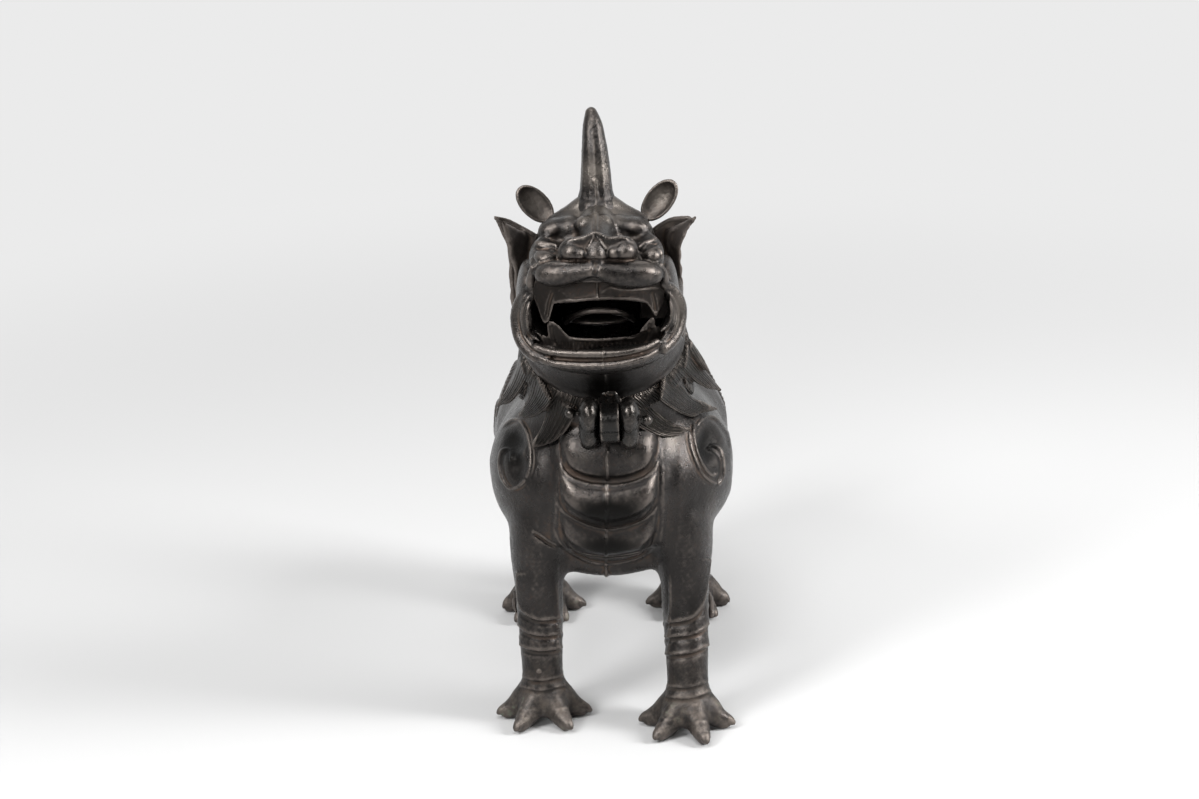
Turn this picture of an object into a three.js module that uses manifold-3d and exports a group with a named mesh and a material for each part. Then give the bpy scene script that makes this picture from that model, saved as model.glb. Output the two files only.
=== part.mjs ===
// Bronze incense burner in the form of a horned guardian beast standing on four clawed paws.
// The hollow body holds ash and incense. The head is its lid: it tips forward on a pinned hinge
// at the chest, and the smoke leaves through the open mouth.
// Millimetres, +Z up. The beast looks along -Y, and its own left side is +X.
import * as THREE from 'three';
import { mergeVertices } from 'three/addons/utils/BufferGeometryUtils.js';
import loadManifold from 'manifold-3d';

const wasm = await loadManifold();
wasm.setup();

// Casting and fitting
const WALL = 3;
const JOINT_GAP = 0.3;
const HINGE_SIDE_GAP = 0.4;

// Body, with its half widths, back heights, belly heights and heights of its widest line from the chest to the rump
const LEG_HEIGHT = 77;
const BODY_HEIGHT = 86;
const BODY_LENGTH = 176;
const LENGTH_FULLNESS = 3.4;
const SECTION_FULLNESS = 2.3;
const CHEST_REACH = 25;
const BODY_HALF_WIDTHS = [50, 55, 55.5, 53, 50, 54, 61, 62.5, 54];
const BACK_RISES = [-14, -3, 2, 0, -2, 0, 1, -2, -12];
const BELLY_RISES = [14, 0, -4, 0, 5, 8, 4, 2, 12];
const WIDEST_RISES = [46, 46, 45, 42, 38, 35, 31, 32, 40];

// Belly plates on the chest, from the top one down
const SCUTE_COUNT = 4;
const SCUTE_PITCH = 19;
const SCUTE_TOP_RISE = 20;
const SCUTE_HALF_WIDTH = 29;
const SCUTE_HALF_HEIGHT = 12;
const SCUTE_HALF_DEPTH = 11;
const SCUTE_PROUD = 4.2;

// Neck opening, on a plane that slopes down to the front
const NECK_SETBACK = 8;
const NECK_RISE = 68;
const NECK_RADIUS = 37.8;
const NECK_DEPTH = 52;
const NECK_FLARE = 6;
const NECK_FLARE_DEPTH = 26;
const NECK_TILT_DEG = 29;

// Legs and paws
const FRONT_TRACK = 69.4;
const REAR_TRACK = 77.4;
const WHEELBASE = 124;
const FRONT_LEFT_STEP = 12;
const LEG = { rootHalfWidth: 15, rootHalfDepth: 19, thighHalfWidth: 12.4, thighHalfDepth: 15 };
const SHIN = { halfWidth: 10.4, halfDepth: 11.4, ankleHalfWidth: 9 };
const HOCK_SETBACK = 11;
const STIFLE_REACH = 9;
const PAW = { halfWidth: 14, halfDepth: 15, height: 17, toeReach: 19.5, toeRadius: 4.6 };
const TOE_ANGLES_DEG = [-88, -27, 27, 88];
const ELBOW_TUFT = { reach: 14, setback: 11, top: 62, bottom: 42, radius: 3.6, tip: 1 };

// Mane collar round the neck of the body
const MANE_BAND_HEIGHT = 9;
const MANE_BAND_THICKNESS = 2.6;
const MANE_LOCK_ANGLES_DEG = [43, 69, 94, 119, 145, 172];
const MANE_LOCK_SWEEP_DEG = 15;
const MANE_LOCK_LENGTHS = [26, 32, 32, 31, 30, 30];
const MANE_LOCK_HALF_WIDTH = 9;
const MANE_LOCK_HALF_THICKNESS = 2.6;
const MANE_LOCK_LIFT = 2.4;
const MANE_LOCK_TIP = 0.6;

// Tail
const TAIL_HEIGHT = 52;
const TAIL_STANDOFF = 4;
const TAIL_HALF_WIDTH = 9;
const TAIL_HALF_THICKNESS = 6;
const TAIL_ROOT_DEPTH = 12;
const TAIL_SPREAD = 9;
const TAIL_TIP = 1;

// Hinge at the chest
const HINGE_FORWARD = 43;
const HINGE_DROP = 23;
const HINGE_LEAF_WIDTH = 9;
const HINGE_LUG_WIDTH = 9;
const HINGE_KNUCKLE_RADIUS = 6.6;
const HINGE_LEAF_THICKNESS = 3.2;
const HINGE_LEAF_HEIGHT = 17;
const HINGE_PIN_RADIUS = 1.9;
const PIN_BALL_RADIUS = 2.5;
const PIN_BALL_STANDOFF = 1.6;

// Head, measured from the centre of the neck opening. A face piece that is on another is measured from that one's centre.
const HEAD_TUBE_LENGTH = 36;
const HEAD_RIM_HEIGHT = 8.7;
const HEAD_RIM_PROUD = 1.4;
const SKULL = { forward: 12, up: 45, halfWidth: 27, halfLength: 31, halfHeight: 29 };
const MUZZLE = { forward: 44, up: 49, halfWidth: 29, halfLength: 24, halfHeight: 14 };
const CHEEK = { spread: 22, forward: 30, up: 33, halfWidth: 14.5, halfLength: 24, halfHeight: 23 };
const JAW = { forward: 36, up: 12, halfWidth: 33.5, halfLength: 28, halfHeight: 13 };
const LIP_PAD = { on: MUZZLE, spread: 15, forward: 17.5, up: 3.5, halfWidth: 15.5, halfLength: 9, halfHeight: 6.4, turnDeg: 16 };
const NOSE_TIP = { on: MUZZLE, forward: 16, up: 15, halfWidth: 7, halfLength: 9, halfHeight: 6.5 };
const NOSTRIL = { on: MUZZLE, spread: 11.5, forward: 14.5, up: 13, halfWidth: 6.8, halfLength: 8, halfHeight: 5.4 };
const EYE = { on: SKULL, spread: 20, forward: 21, up: 17.5, radius: 8 };
const BROW_BUMP = { on: SKULL, spread: 4.2, forward: 26, up: 20, radius: 5 };
const CHEEKBONE = { on: MUZZLE, spread: 25, forward: -2, up: 7, halfWidth: 7, halfLength: 12, halfHeight: 7 };
const LIP_ROLL_RADIUS = 5.4;
const LIP_PATH = [[23, 58, 51], [31.5, 48, 44], [33, 42, 31], [30, 49, 19], [17, 60, 13], [0, 63, 12]];
const MOUTH = { halfWidth: 31.5, floor: 16, roof: 48, back: 24 };

// Teeth and tongue
const TOOTH_PLATE_THICKNESS = 2;
const TOOTH_ARC_SETBACK = 6;
const TOOTH_ARC_RADIUS = 40;
const TOOTH_ROOT_DEPTH = 2;
const TOOTH_PLATE_HALF_WIDTH = 27;
const UPPER_TOOTH_HEIGHT = 8;
const LOWER_TOOTH_HEIGHT = 7;
const FANG = { spread: 24, halfWidth: 4, halfThickness: 2, tip: 0.7, length: 9 };
const TONGUE = { halfWidth: 14, height: 14, tipForward: 47, length: 30 };

// Horn and ears
const HORN_LENGTH = 38;
const HORN_BASE_RADIUS = 7.6;
const HORN_SINK = 6;
const HORN_LEAN = 5;
const HORN_SIDE_LEAN = -3;
const EAR = { on: SKULL, spread: 19, up: 15, forward: -4, length: 24, halfWidth: 5.6, halfThickness: 1.6, cup: 3.4, splayDeg: 46 };

// Mane hood that stands behind the face
const HOOD_THICKNESS = 2;
const HOOD_FRONT_ANGLE_DEG = 76;
const HOOD_FRONT_LEAN_DEG = 38;
const HOOD_BACK_HEIGHT = 41;
const HOOD_SIDE_HEIGHT = 62;
const HOOD_FLARE = 0.6;
const HOOD_TIP_REACH = 10;

// Ash pan inside the body
const ASH_PAN_RADIUS = 30;
const ASH_PAN_BASE_RADIUS = 18;
const ASH_PAN_DEPTH = 13;
const ASH_PAN_WALL = 1.8;
const ASH_PAN_SETBACK = 24;

// Smoothness of the facets
const TUBE_SEGMENTS = 28;
const LUMP_SEGMENTS = 10;
const MERGE_TOLERANCE = 1e-5;

const SIDES = [
  { sign: 1, word: 'left' },
  { sign: -1, word: 'right' },
];
const bodyCentreZ = LEG_HEIGHT + BODY_HEIGHT / 2;
const bodyCentreY = BODY_LENGTH / 2 - CHEST_REACH;
const rad = THREE.MathUtils.degToRad;
const vec = (x, y, z) => new THREE.Vector3(x, y, z);

// The neck opening: its centre, the way out of it, and its own front direction
const neckCentre = vec(0, NECK_SETBACK, bodyCentreZ + NECK_RISE);
const neckAxis = vec(0, -Math.sin(rad(NECK_TILT_DEG)), Math.cos(rad(NECK_TILT_DEG)));
const neckFront = vec(0, -Math.cos(rad(NECK_TILT_DEG)), -Math.sin(rad(NECK_TILT_DEG)));

/** A place on the head: x to the side, forward and up from the centre of the neck opening. */
const onHead = (x, forward, up) => vec(x, neckCentre.y - forward, neckCentre.z + up);

/** A place round the neck: angle from the front, radius, and height along the neck's axis. */
function roundNeck(angle, radius, height) {
  return neckCentre.clone()
    .addScaledVector(neckAxis, height)
    .addScaledVector(neckFront, radius * Math.cos(angle))
    .add(vec(radius * Math.sin(angle), 0, 0));
}

// Solids from three.js geometry

/** A closed geometry as a solid that can be joined and cut. */
function solidOf(geometry) {
  const bare = new THREE.BufferGeometry();
  bare.setAttribute('position', geometry.getAttribute('position'));
  bare.setIndex(geometry.index);
  const merged = mergeVertices(bare, MERGE_TOLERANCE);
  const corners = merged.index.array;
  const triVerts = [];
  for (let i = 0; i < corners.length; i += 3) {
    const [a, b, c] = corners.slice(i, i + 3);
    if (a !== b && b !== c && c !== a) triVerts.push(a, b, c);
  }
  return new wasm.Manifold(new wasm.Mesh({
    numProp: 3,
    vertProperties: new Float32Array(merged.getAttribute('position').array),
    triVerts: new Uint32Array(triVerts),
  }));
}

/** A geometry with its seams closed and every point moved by a function of that point. */
function reshape(geometry, move) {
  const bare = new THREE.BufferGeometry();
  bare.setAttribute('position', geometry.getAttribute('position'));
  bare.setIndex(geometry.index);
  const merged = mergeVertices(bare, MERGE_TOLERANCE);
  const position = merged.getAttribute('position');
  const point = vec(0, 0, 0);
  for (let i = 0; i < position.count; i += 1) {
    const moved = move(point.fromBufferAttribute(position, i));
    position.setXYZ(i, moved.x, moved.y, moved.z);
  }
  return merged;
}

/** An ellipsoid at a place, turned about +Z. */
function lump(centre, halfX, halfY, halfZ, turnDeg = 0, segments = LUMP_SEGMENTS) {
  const geometry = new THREE.SphereGeometry(1, segments, Math.round(segments * 0.7));
  geometry.rotateX(Math.PI / 2).scale(halfX, halfY, halfZ).rotateZ(rad(turnDeg));
  return solidOf(geometry.translate(centre.x, centre.y, centre.z));
}

/**
 * A rounded solid that follows a curve. halfWidth and halfThickness are functions of the way along
 * it, from 0 to 1. facing is the direction that its flat side looks, and cup lifts its two edges.
 */
function limb(points, facing, halfWidth, halfThickness, around = 10, along = 9, cup = 0) {
  const curve = new THREE.CatmullRomCurve3(points);
  const geometry = reshape(new THREE.SphereGeometry(1, around, along), (p) => {
    const t = (1 + p.y) / 2;
    const ring = Math.hypot(p.x, p.z) || 1;
    const tangent = curve.getTangent(t);
    const normal = facing.clone().addScaledVector(tangent, -facing.dot(tangent)).normalize();
    const across = tangent.clone().cross(normal);
    const side = p.x / ring;
    return curve.getPoint(t)
      .addScaledVector(across, side * halfWidth(t) * Math.min(1, ring * 2))
      .addScaledVector(normal, (p.z / ring) * halfThickness(t) * Math.min(1, ring * 2) + cup * side * side * ring);
  });
  return solidOf(geometry);
}

/** A value that runs smoothly through a list of values as t goes from 0 to 1. */
function through(...values) {
  const curve = new THREE.SplineCurve(values.map((v, i) => new THREE.Vector2(i, v)));
  return (t) => curve.getPoint(THREE.MathUtils.clamp(t, 0, 1)).y;
}

/** A slab with one face on a plane, that reaches far to the side that the normal points to. */
function beyond(point, normal) {
  const reach = BODY_LENGTH * 3;
  const geometry = new THREE.BoxGeometry(reach, reach, reach).translate(0, 0, reach / 2);
  geometry.applyQuaternion(new THREE.Quaternion().setFromUnitVectors(vec(0, 0, 1), normal));
  return solidOf(geometry.translate(point.x, point.y, point.z));
}

/** A round bar along X, centred at a place. */
function barAlongX(centre, radius, length, segments = 16) {
  const geometry = new THREE.CylinderGeometry(radius, radius, length, segments).rotateZ(Math.PI / 2);
  return solidOf(geometry.translate(centre.x, centre.y, centre.z));
}

const aboveNeck = (offset) => beyond(neckCentre.clone().addScaledVector(neckAxis, offset), neckAxis);
const belowNeck = (offset) => beyond(neckCentre.clone().addScaledVector(neckAxis, offset), neckAxis.clone().negate());
const floorCut = () => beyond(vec(0, 0, 0), vec(0, 0, -1));

// Body

const halfWidthAlong = through(...BODY_HALF_WIDTHS);
const backAlong = through(...BACK_RISES.map((rise) => LEG_HEIGHT + BODY_HEIGHT + rise));
const bellyAlong = through(...BELLY_RISES.map((rise) => LEG_HEIGHT + rise));
const widestAlong = through(...WIDEST_RISES.map((rise) => LEG_HEIGHT + rise));
const full = (u, fullness) => Math.sign(u) * Math.abs(u) ** (2 / fullness);

/** A point of the trunk for a point of the unit sphere, whose poles are chest and rump. */
function trunkPoint(p, grow) {
  const ring = Math.hypot(p.x, p.z) || 1;
  const along = full(p.y, LENGTH_FULLNESS);
  const share = (along + 1) / 2;
  const swell = full(Math.min(1, ring), LENGTH_FULLNESS);
  const reach = p.z > 0 ? backAlong(share) - widestAlong(share) : widestAlong(share) - bellyAlong(share);
  return vec(
    full(p.x / ring, SECTION_FULLNESS) * swell * (halfWidthAlong(share) + grow),
    bodyCentreY + along * (BODY_LENGTH / 2 + grow),
    widestAlong(share) + full(p.z / ring, SECTION_FULLNESS) * swell * (reach + grow),
  );
}

/** The trunk from chest to rump, with shoulders and haunches. Its hollow has fewer facets. */
function trunk(grow) {
  const [around, along] = grow < 0 ? [20, 14] : [28, 20];
  return solidOf(reshape(new THREE.SphereGeometry(1, around, along), (p) => trunkPoint(p, grow)));
}

/** Whether a point lies inside the trunk. */
function insideTrunk(point) {
  const along = (point.y - bodyCentreY) / (BODY_LENGTH / 2);
  if (Math.abs(along) >= 1) return false;
  const share = (along + 1) / 2;
  const swell = (1 - Math.abs(along) ** LENGTH_FULLNESS) ** (1 / LENGTH_FULLNESS);
  const rise = point.z - widestAlong(share);
  const reach = rise > 0 ? backAlong(share) - widestAlong(share) : widestAlong(share) - bellyAlong(share);
  const across = Math.abs(point.x) / (swell * halfWidthAlong(share));
  const upward = Math.abs(rise) / (swell * reach);
  return across ** SECTION_FULLNESS + upward ** SECTION_FULLNESS < 1;
}

/** The neck's radius at an angle from the front and a height along its axis. It flares to the chest. */
function neckRadiusAt(angle, height) {
  const depth = -height / NECK_FLARE_DEPTH;
  const flare = depth < 1 ? Math.max(0, depth) ** 2 : Math.max(-1, 2 - depth);
  return NECK_RADIUS + NECK_FLARE * flare * (1 + Math.cos(angle)) / 2;
}

/** The radius at which neck and shoulders end, at an angle from the front and a height along the neck's axis. */
function skinRadiusAt(angle, height) {
  let radius = neckRadiusAt(angle, height);
  while (insideTrunk(roundNeck(angle, radius, height))) radius += JOINT_GAP;
  return radius;
}

/** The neck of the body, which runs past its opening plane so that it can be cut there. */
function neckTube(grow) {
  const geometry = reshape(new THREE.CylinderGeometry(1, 1, 1, TUBE_SEGMENTS, 5), (p) => {
    const height = THREE.MathUtils.lerp(-NECK_DEPTH, WALL * 2, p.y + 0.5);
    const angle = Math.atan2(p.x, p.z);
    const ring = Math.hypot(p.x, p.z);
    return roundNeck(angle, ring * (neckRadiusAt(angle, height) + grow), height);
  });
  return solidOf(geometry);
}

/** The plain form of the body, grown or shrunk all round. */
function bodyForm(grow) {
  return trunk(grow).add(neckTube(grow));
}

/** How far forward the chest stands at a height, in the middle. */
function chestY(z) {
  let [low, high] = [-Math.PI / 2, Math.PI / 2];
  for (let i = 0; i < 30; i += 1) {
    const middle = (low + high) / 2;
    if (trunkPoint(vec(0, -Math.cos(middle), Math.sin(middle)), 0).z < z) low = middle;
    else high = middle;
  }
  return trunkPoint(vec(0, -Math.cos(low), Math.sin(low)), 0).y;
}

/** One padded plate across the chest. */
function scute(index, grow) {
  const z = bodyCentreZ + SCUTE_TOP_RISE - index * SCUTE_PITCH;
  const centre = vec(0, chestY(z) + SCUTE_HALF_DEPTH - SCUTE_PROUD, z);
  return lump(centre, SCUTE_HALF_WIDTH + grow, SCUTE_HALF_DEPTH + grow, SCUTE_HALF_HEIGHT + grow, 0, 14);
}

/** The outside of the body, grown by a clearance. */
function bodyOutside(grow) {
  let form = bodyForm(grow);
  for (let i = 0; i < SCUTE_COUNT; i += 1) form = form.add(scute(i, grow));
  return form.subtract(aboveNeck(grow));
}

function bodyShell() {
  return bodyOutside(0).subtract(bodyForm(-WALL));
}

// Legs

/** A paw with its toes, flat underneath. */
function paw(x, y) {
  let form = lump(vec(x, y, PAW.height * 0.4), PAW.halfWidth, PAW.halfDepth, PAW.height * 0.75);
  for (const degrees of TOE_ANGLES_DEG) {
    const out = vec(Math.sin(rad(degrees)), -Math.cos(rad(degrees)), 0);
    const place = (share, z) => vec(x, y, z).addScaledVector(out, PAW.toeReach * share);
    const points = [place(0.1, PAW.height * 0.7), place(0.65, PAW.height * 0.42), place(1.05, PAW.toeRadius * 0.5)];
    const radius = through(PAW.toeRadius * 1.5, PAW.toeRadius * 1.25, PAW.toeRadius);
    form = form.add(limb(points, vec(0, 0, 1), radius, radius, 7, 5));
  }
  return form;
}

/** A curl of hair on the outside of the elbow. */
function elbowTuft(sign, x, y) {
  const outer = x + sign * ELBOW_TUFT.reach;
  const points = [
    vec(x + sign * SHIN.halfWidth * 0.5, y + ELBOW_TUFT.setback * 0.4, ELBOW_TUFT.top),
    vec(outer, y + ELBOW_TUFT.setback, (ELBOW_TUFT.top + ELBOW_TUFT.bottom) / 2),
    vec(outer, y + ELBOW_TUFT.setback, ELBOW_TUFT.bottom),
  ];
  return limb(points, vec(0, 1, 0), through(ELBOW_TUFT.radius, ELBOW_TUFT.radius, ELBOW_TUFT.tip), through(ELBOW_TUFT.radius * 1.1, ELBOW_TUFT.radius * 0.9, ELBOW_TUFT.tip), 6, 6);
}

/** A leg from inside the trunk down to its paw, cut where the trunk begins. */
function leg(sign, front) {
  const x = sign * (front ? FRONT_TRACK : REAR_TRACK) / 2;
  const step = front && sign > 0 ? FRONT_LEFT_STEP : 0;
  const y = front ? 0 : WHEELBASE;
  const bend = front ? 0 : 1;
  const points = [
    vec(x * 0.94, y - bend * STIFLE_REACH, LEG_HEIGHT * 1.4),
    vec(x * 0.98, y - bend * STIFLE_REACH - step * 0.2, LEG_HEIGHT * 1.02),
    vec(x, y + bend * HOCK_SETBACK - step * 0.6, LEG_HEIGHT * 0.54),
    vec(x, y - step, PAW.height * 0.4),
  ];
  const width = through(LEG.rootHalfWidth, LEG.thighHalfWidth, SHIN.halfWidth, SHIN.ankleHalfWidth);
  const depth = through(LEG.rootHalfDepth, LEG.thighHalfDepth, SHIN.halfDepth, SHIN.ankleHalfWidth);
  let form = limb(points, vec(0, 1, 0), width, depth, 12, 9).add(paw(x, y - step));
  if (front) form = form.add(elbowTuft(sign, x, y - step * 0.6));
  return form.subtract(floorCut()).subtract(bodyOutside(JOINT_GAP));
}

// Mane collar

/** One pointed lock of hair that sweeps from the neck band back and down over the shoulder. */
function maneLock(degrees, length) {
  const facing = roundNeck(rad(degrees), 1, 0).sub(neckCentre);
  const points = [0, 0.35, 0.7, 1].map((share) => {
    const angle = rad(degrees - Math.sign(degrees) * MANE_LOCK_SWEEP_DEG * (1 - share));
    const height = -MANE_BAND_HEIGHT * 0.35 - share * length;
    const lift = MANE_BAND_THICKNESS * 0.5 + share ** 3 * MANE_LOCK_LIFT;
    return roundNeck(angle, skinRadiusAt(angle, height) + lift, height);
  });
  const width = through(MANE_LOCK_HALF_WIDTH * 0.8, MANE_LOCK_HALF_WIDTH, MANE_LOCK_HALF_WIDTH * 0.6, MANE_LOCK_TIP);
  const thickness = through(MANE_LOCK_HALF_THICKNESS, MANE_LOCK_HALF_THICKNESS, MANE_LOCK_HALF_THICKNESS * 0.7, MANE_LOCK_TIP);
  return limb(points, facing, width, thickness, 6, 7);
}

/** The band that carries the locks, round the outside of the neck. */
function maneBand(grow) {
  const geometry = reshape(new THREE.CylinderGeometry(1, 1, 1, TUBE_SEGMENTS, 1), (p) => {
    const height = THREE.MathUtils.lerp(-MANE_BAND_HEIGHT - grow, grow, p.y + 0.5);
    const angle = Math.atan2(p.x, p.z);
    const radius = neckRadiusAt(angle, height) + MANE_BAND_THICKNESS + grow;
    return roundNeck(angle, Math.hypot(p.x, p.z) * radius, height);
  });
  return solidOf(geometry);
}

function maneCollar() {
  let form = maneBand(0);
  MANE_LOCK_ANGLES_DEG.forEach((degrees, i) => {
    for (const { sign } of SIDES) form = form.add(maneLock(sign * degrees, MANE_LOCK_LENGTHS[i]));
  });
  return form.subtract(bodyOutside(JOINT_GAP)).subtract(aboveNeck(0)).subtract(neckTube(JOINT_GAP));
}

// Tail

function tail() {
  const rumpY = BODY_LENGTH - CHEST_REACH;
  const plume = (spread, reach) => limb([
    vec(0, rumpY - TAIL_ROOT_DEPTH, bodyCentreZ),
    vec(spread * 0.5, rumpY + TAIL_STANDOFF, bodyCentreZ + reach * 0.3),
    vec(spread, rumpY + TAIL_STANDOFF * 0.4, bodyCentreZ + reach * 0.75),
    vec(spread * 1.5, rumpY + TAIL_STANDOFF * 1.6, bodyCentreZ + reach),
  ], vec(0, 1, 0), through(TAIL_HALF_WIDTH * 0.6, TAIL_HALF_WIDTH, TAIL_HALF_WIDTH * 0.8, TAIL_TIP),
  through(TAIL_HALF_THICKNESS, TAIL_HALF_THICKNESS, TAIL_HALF_THICKNESS * 0.7, TAIL_TIP), 8, 7);
  const form = plume(0, TAIL_HEIGHT).add(plume(TAIL_SPREAD, TAIL_HEIGHT * 0.72)).add(plume(-TAIL_SPREAD, TAIL_HEIGHT * 0.72));
  return form.subtract(bodyOutside(JOINT_GAP));
}

// Hinge

const hingeCentre = onHead(0, HINGE_FORWARD, -HINGE_DROP);
const lugInner = HINGE_LEAF_WIDTH / 2 + HINGE_SIDE_GAP;
const lugOuter = lugInner + HINGE_LUG_WIDTH;
const pinHalfLength = lugOuter + PIN_BALL_STANDOFF;

const pinBore = () => barAlongX(hingeCentre, HINGE_PIN_RADIUS + JOINT_GAP, pinHalfLength * 3);

/** A bulbous lug on the chest that carries one end of the pin. */
function hingeLug(sign) {
  const middle = (lugInner + lugOuter) / 2;
  const bulb = (centre, radius) => lump(centre, HINGE_LUG_WIDTH * 0.75, radius, radius);
  const side = (x) => beyond(vec(x * sign, 0, 0), vec(x < middle ? -sign : sign, 0, 0));
  const knuckle = hingeCentre.clone().add(vec(sign * middle, 0, 0));
  const heel = knuckle.clone().add(vec(0, HINGE_KNUCKLE_RADIUS * 0.6, -HINGE_KNUCKLE_RADIUS * 1.25));
  const root = vec(heel.x, chestY(heel.z), heel.z);
  const half = () => HINGE_LUG_WIDTH * 0.75;
  return bulb(knuckle, HINGE_KNUCKLE_RADIUS)
    .add(bulb(heel, HINGE_KNUCKLE_RADIUS * 0.9))
    .add(limb([knuckle, heel.clone().lerp(root, 0.5), root], vec(0, 0, 1), half, () => HINGE_KNUCKLE_RADIUS * 0.75, 10, 7))
    .subtract(side(lugInner))
    .subtract(side(lugOuter))
    .subtract(pinBore())
    .subtract(bodyOutside(JOINT_GAP))
    .subtract(maneBand(JOINT_GAP * 2));
}

/** The pin, with a ball forged on its left end. */
function hingePin() {
  const bar = barAlongX(hingeCentre, HINGE_PIN_RADIUS, pinHalfLength * 2, 12);
  const ball = lump(hingeCentre.clone().add(vec(pinHalfLength, 0, 0)), PIN_BALL_RADIUS, PIN_BALL_RADIUS, PIN_BALL_RADIUS);
  return bar.add(ball);
}

/** The ball that is riveted on the right end after the pin is in. */
function pinBall() {
  const centre = hingeCentre.clone().add(vec(-pinHalfLength, 0, 0));
  const socket = barAlongX(hingeCentre, HINGE_PIN_RADIUS + JOINT_GAP, pinHalfLength * 2 + JOINT_GAP * 2, 12);
  return lump(centre, PIN_BALL_RADIUS, PIN_BALL_RADIUS, PIN_BALL_RADIUS).subtract(socket);
}

/** The head's half of the hinge: a knuckle and a strap up the throat. */
function hingeLeaf() {
  const half = HINGE_LEAF_WIDTH / 2;
  const throat = roundNeck(0, NECK_RADIUS + HINGE_LEAF_THICKNESS, 0);
  const strap = limb([
    hingeCentre.clone(),
    vec(0, throat.y, throat.z + HINGE_LEAF_THICKNESS * 0.6),
    roundNeck(0, NECK_RADIUS + HINGE_LEAF_THICKNESS * 0.4, HINGE_LEAF_HEIGHT),
  ], vec(0, -1, 0.3), () => half, () => HINGE_LEAF_THICKNESS, 12, 9);
  const sides = [1, -1].map((sign) => beyond(vec(sign * half, 0, 0), vec(sign, 0, 0)));
  return barAlongX(hingeCentre, HINGE_KNUCKLE_RADIUS, HINGE_LEAF_WIDTH)
    .add(strap)
    .subtract(sides[0])
    .subtract(sides[1])
    .subtract(pinBore())
    .subtract(headShell(JOINT_GAP))
    .subtract(maneBand(JOINT_GAP * 2));
}

// Head

/** The head's own tube, which stands on the neck opening. */
function headTube(grow) {
  const upright = (radius, length) => {
    const geometry = new THREE.CylinderGeometry(radius, radius, length, TUBE_SEGMENTS);
    geometry.rotateX(Math.PI / 2).translate(0, 0, length / 2);
    geometry.applyQuaternion(new THREE.Quaternion().setFromUnitVectors(vec(0, 0, 1), neckAxis));
    return solidOf(geometry.translate(neckCentre.x, neckCentre.y, neckCentre.z));
  };
  const tube = upright(NECK_RADIUS - HEAD_RIM_PROUD + grow, HEAD_TUBE_LENGTH + grow);
  return grow < 0 ? tube : tube.add(upright(NECK_RADIUS + grow, HEAD_RIM_HEIGHT + grow));
}

/** An ellipsoid on the head, from its named place and half sizes. */
function headLump(part, sign, grow, segments = LUMP_SEGMENTS) {
  const { halfWidth = part.radius, halfLength = part.radius, halfHeight = part.radius } = part;
  const { forward = 0, up = 0 } = part.on ?? {};
  const centre = onHead(sign * (part.spread ?? 0), forward + part.forward, up + part.up);
  const turn = sign * (part.turnDeg ?? 0);
  return lump(centre, halfWidth + grow, halfLength + grow, halfHeight + grow, turn, segments);
}

/** The roll of the lips, from the upper lip round one corner of the mouth, below it and up again. */
function lipRoll(grow) {
  const half = LIP_PATH.map(([x, forward, up]) => onHead(x, forward, up));
  const other = LIP_PATH.slice(0, -1).reverse().map(([x, forward, up]) => onHead(-x, forward, up));
  const radius = () => LIP_ROLL_RADIUS + grow;
  return limb([...half, ...other], vec(0, 1, 0), radius, radius, 8, 24);
}

/** The outside of the head without its lips, grown by a clearance. */
function headOutside(grow) {
  let form = headTube(grow)
    .add(headLump(SKULL, 0, grow, 18))
    .add(headLump(MUZZLE, 0, grow, 16))
    .add(headLump(JAW, 0, grow, 18))
    .add(headLump(NOSE_TIP, 0, grow));
  for (const { sign } of SIDES) {
    for (const part of [CHEEK, LIP_PAD, NOSTRIL, EYE, BROW_BUMP, CHEEKBONE]) form = form.add(headLump(part, sign, grow));
  }
  return form.subtract(belowNeck(JOINT_GAP - grow));
}

/** The open mouth, from in front of the lips back into the hollow of the head. */
function mouthOpening(grow) {
  const half = MOUTH.halfWidth + grow;
  const top = MOUTH.roof + grow;
  const bottom = MOUTH.floor - grow;
  const middle = (top + bottom) / 2;
  const outline = new THREE.Shape();
  outline.moveTo(-half * 0.8, bottom);
  outline.lineTo(half * 0.8, bottom);
  outline.quadraticCurveTo(half, bottom, half, middle);
  outline.quadraticCurveTo(half, top, half * 0.85, top);
  outline.lineTo(-half * 0.85, top);
  outline.quadraticCurveTo(-half, top, -half, middle);
  outline.quadraticCurveTo(-half, bottom, -half * 0.8, bottom);
  const depth = MUZZLE.forward + MUZZLE.halfLength * 2 - MOUTH.back;
  const geometry = new THREE.ExtrudeGeometry(outline, { depth, bevelEnabled: false, curveSegments: 4 });
  geometry.rotateX(Math.PI / 2);
  const back = onHead(0, MOUTH.back - grow, 0);
  return solidOf(geometry.translate(back.x, back.y, back.z));
}

/** The hollow of the head, which opens at the neck and at the mouth. */
function headHollow(grow) {
  return headTube(grow - WALL)
    .add(headLump(SKULL, 0, grow - WALL, 14))
    .add(neckTube(grow - WALL))
    .add(mouthOpening(grow));
}

/** The cast head: skull, muzzle, cheeks, jaw and throat in one shell. Its material can be grown by a clearance. */
function headShell(grow) {
  return headOutside(grow).subtract(headHollow(-grow)).add(lipRoll(grow));
}

// Teeth and tongue

/** How far forward the row of teeth stands at a distance from the middle. */
const toothForward = (x) => LIP_PATH.at(-1)[1] - TOOTH_ARC_SETBACK - x * x / (TOOTH_ARC_RADIUS * 2);

/** A curved plate along the row of teeth, between two heights. */
function toothBand(low, high) {
  const geometry = reshape(new THREE.BoxGeometry(2, 1, 1, 8, 1, 1), (p) => {
    const x = p.x * TOOTH_PLATE_HALF_WIDTH;
    return onHead(x, toothForward(x) - p.y * TOOTH_PLATE_THICKNESS, THREE.MathUtils.lerp(low, high, p.z + 0.5));
  });
  return solidOf(geometry);
}

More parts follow.
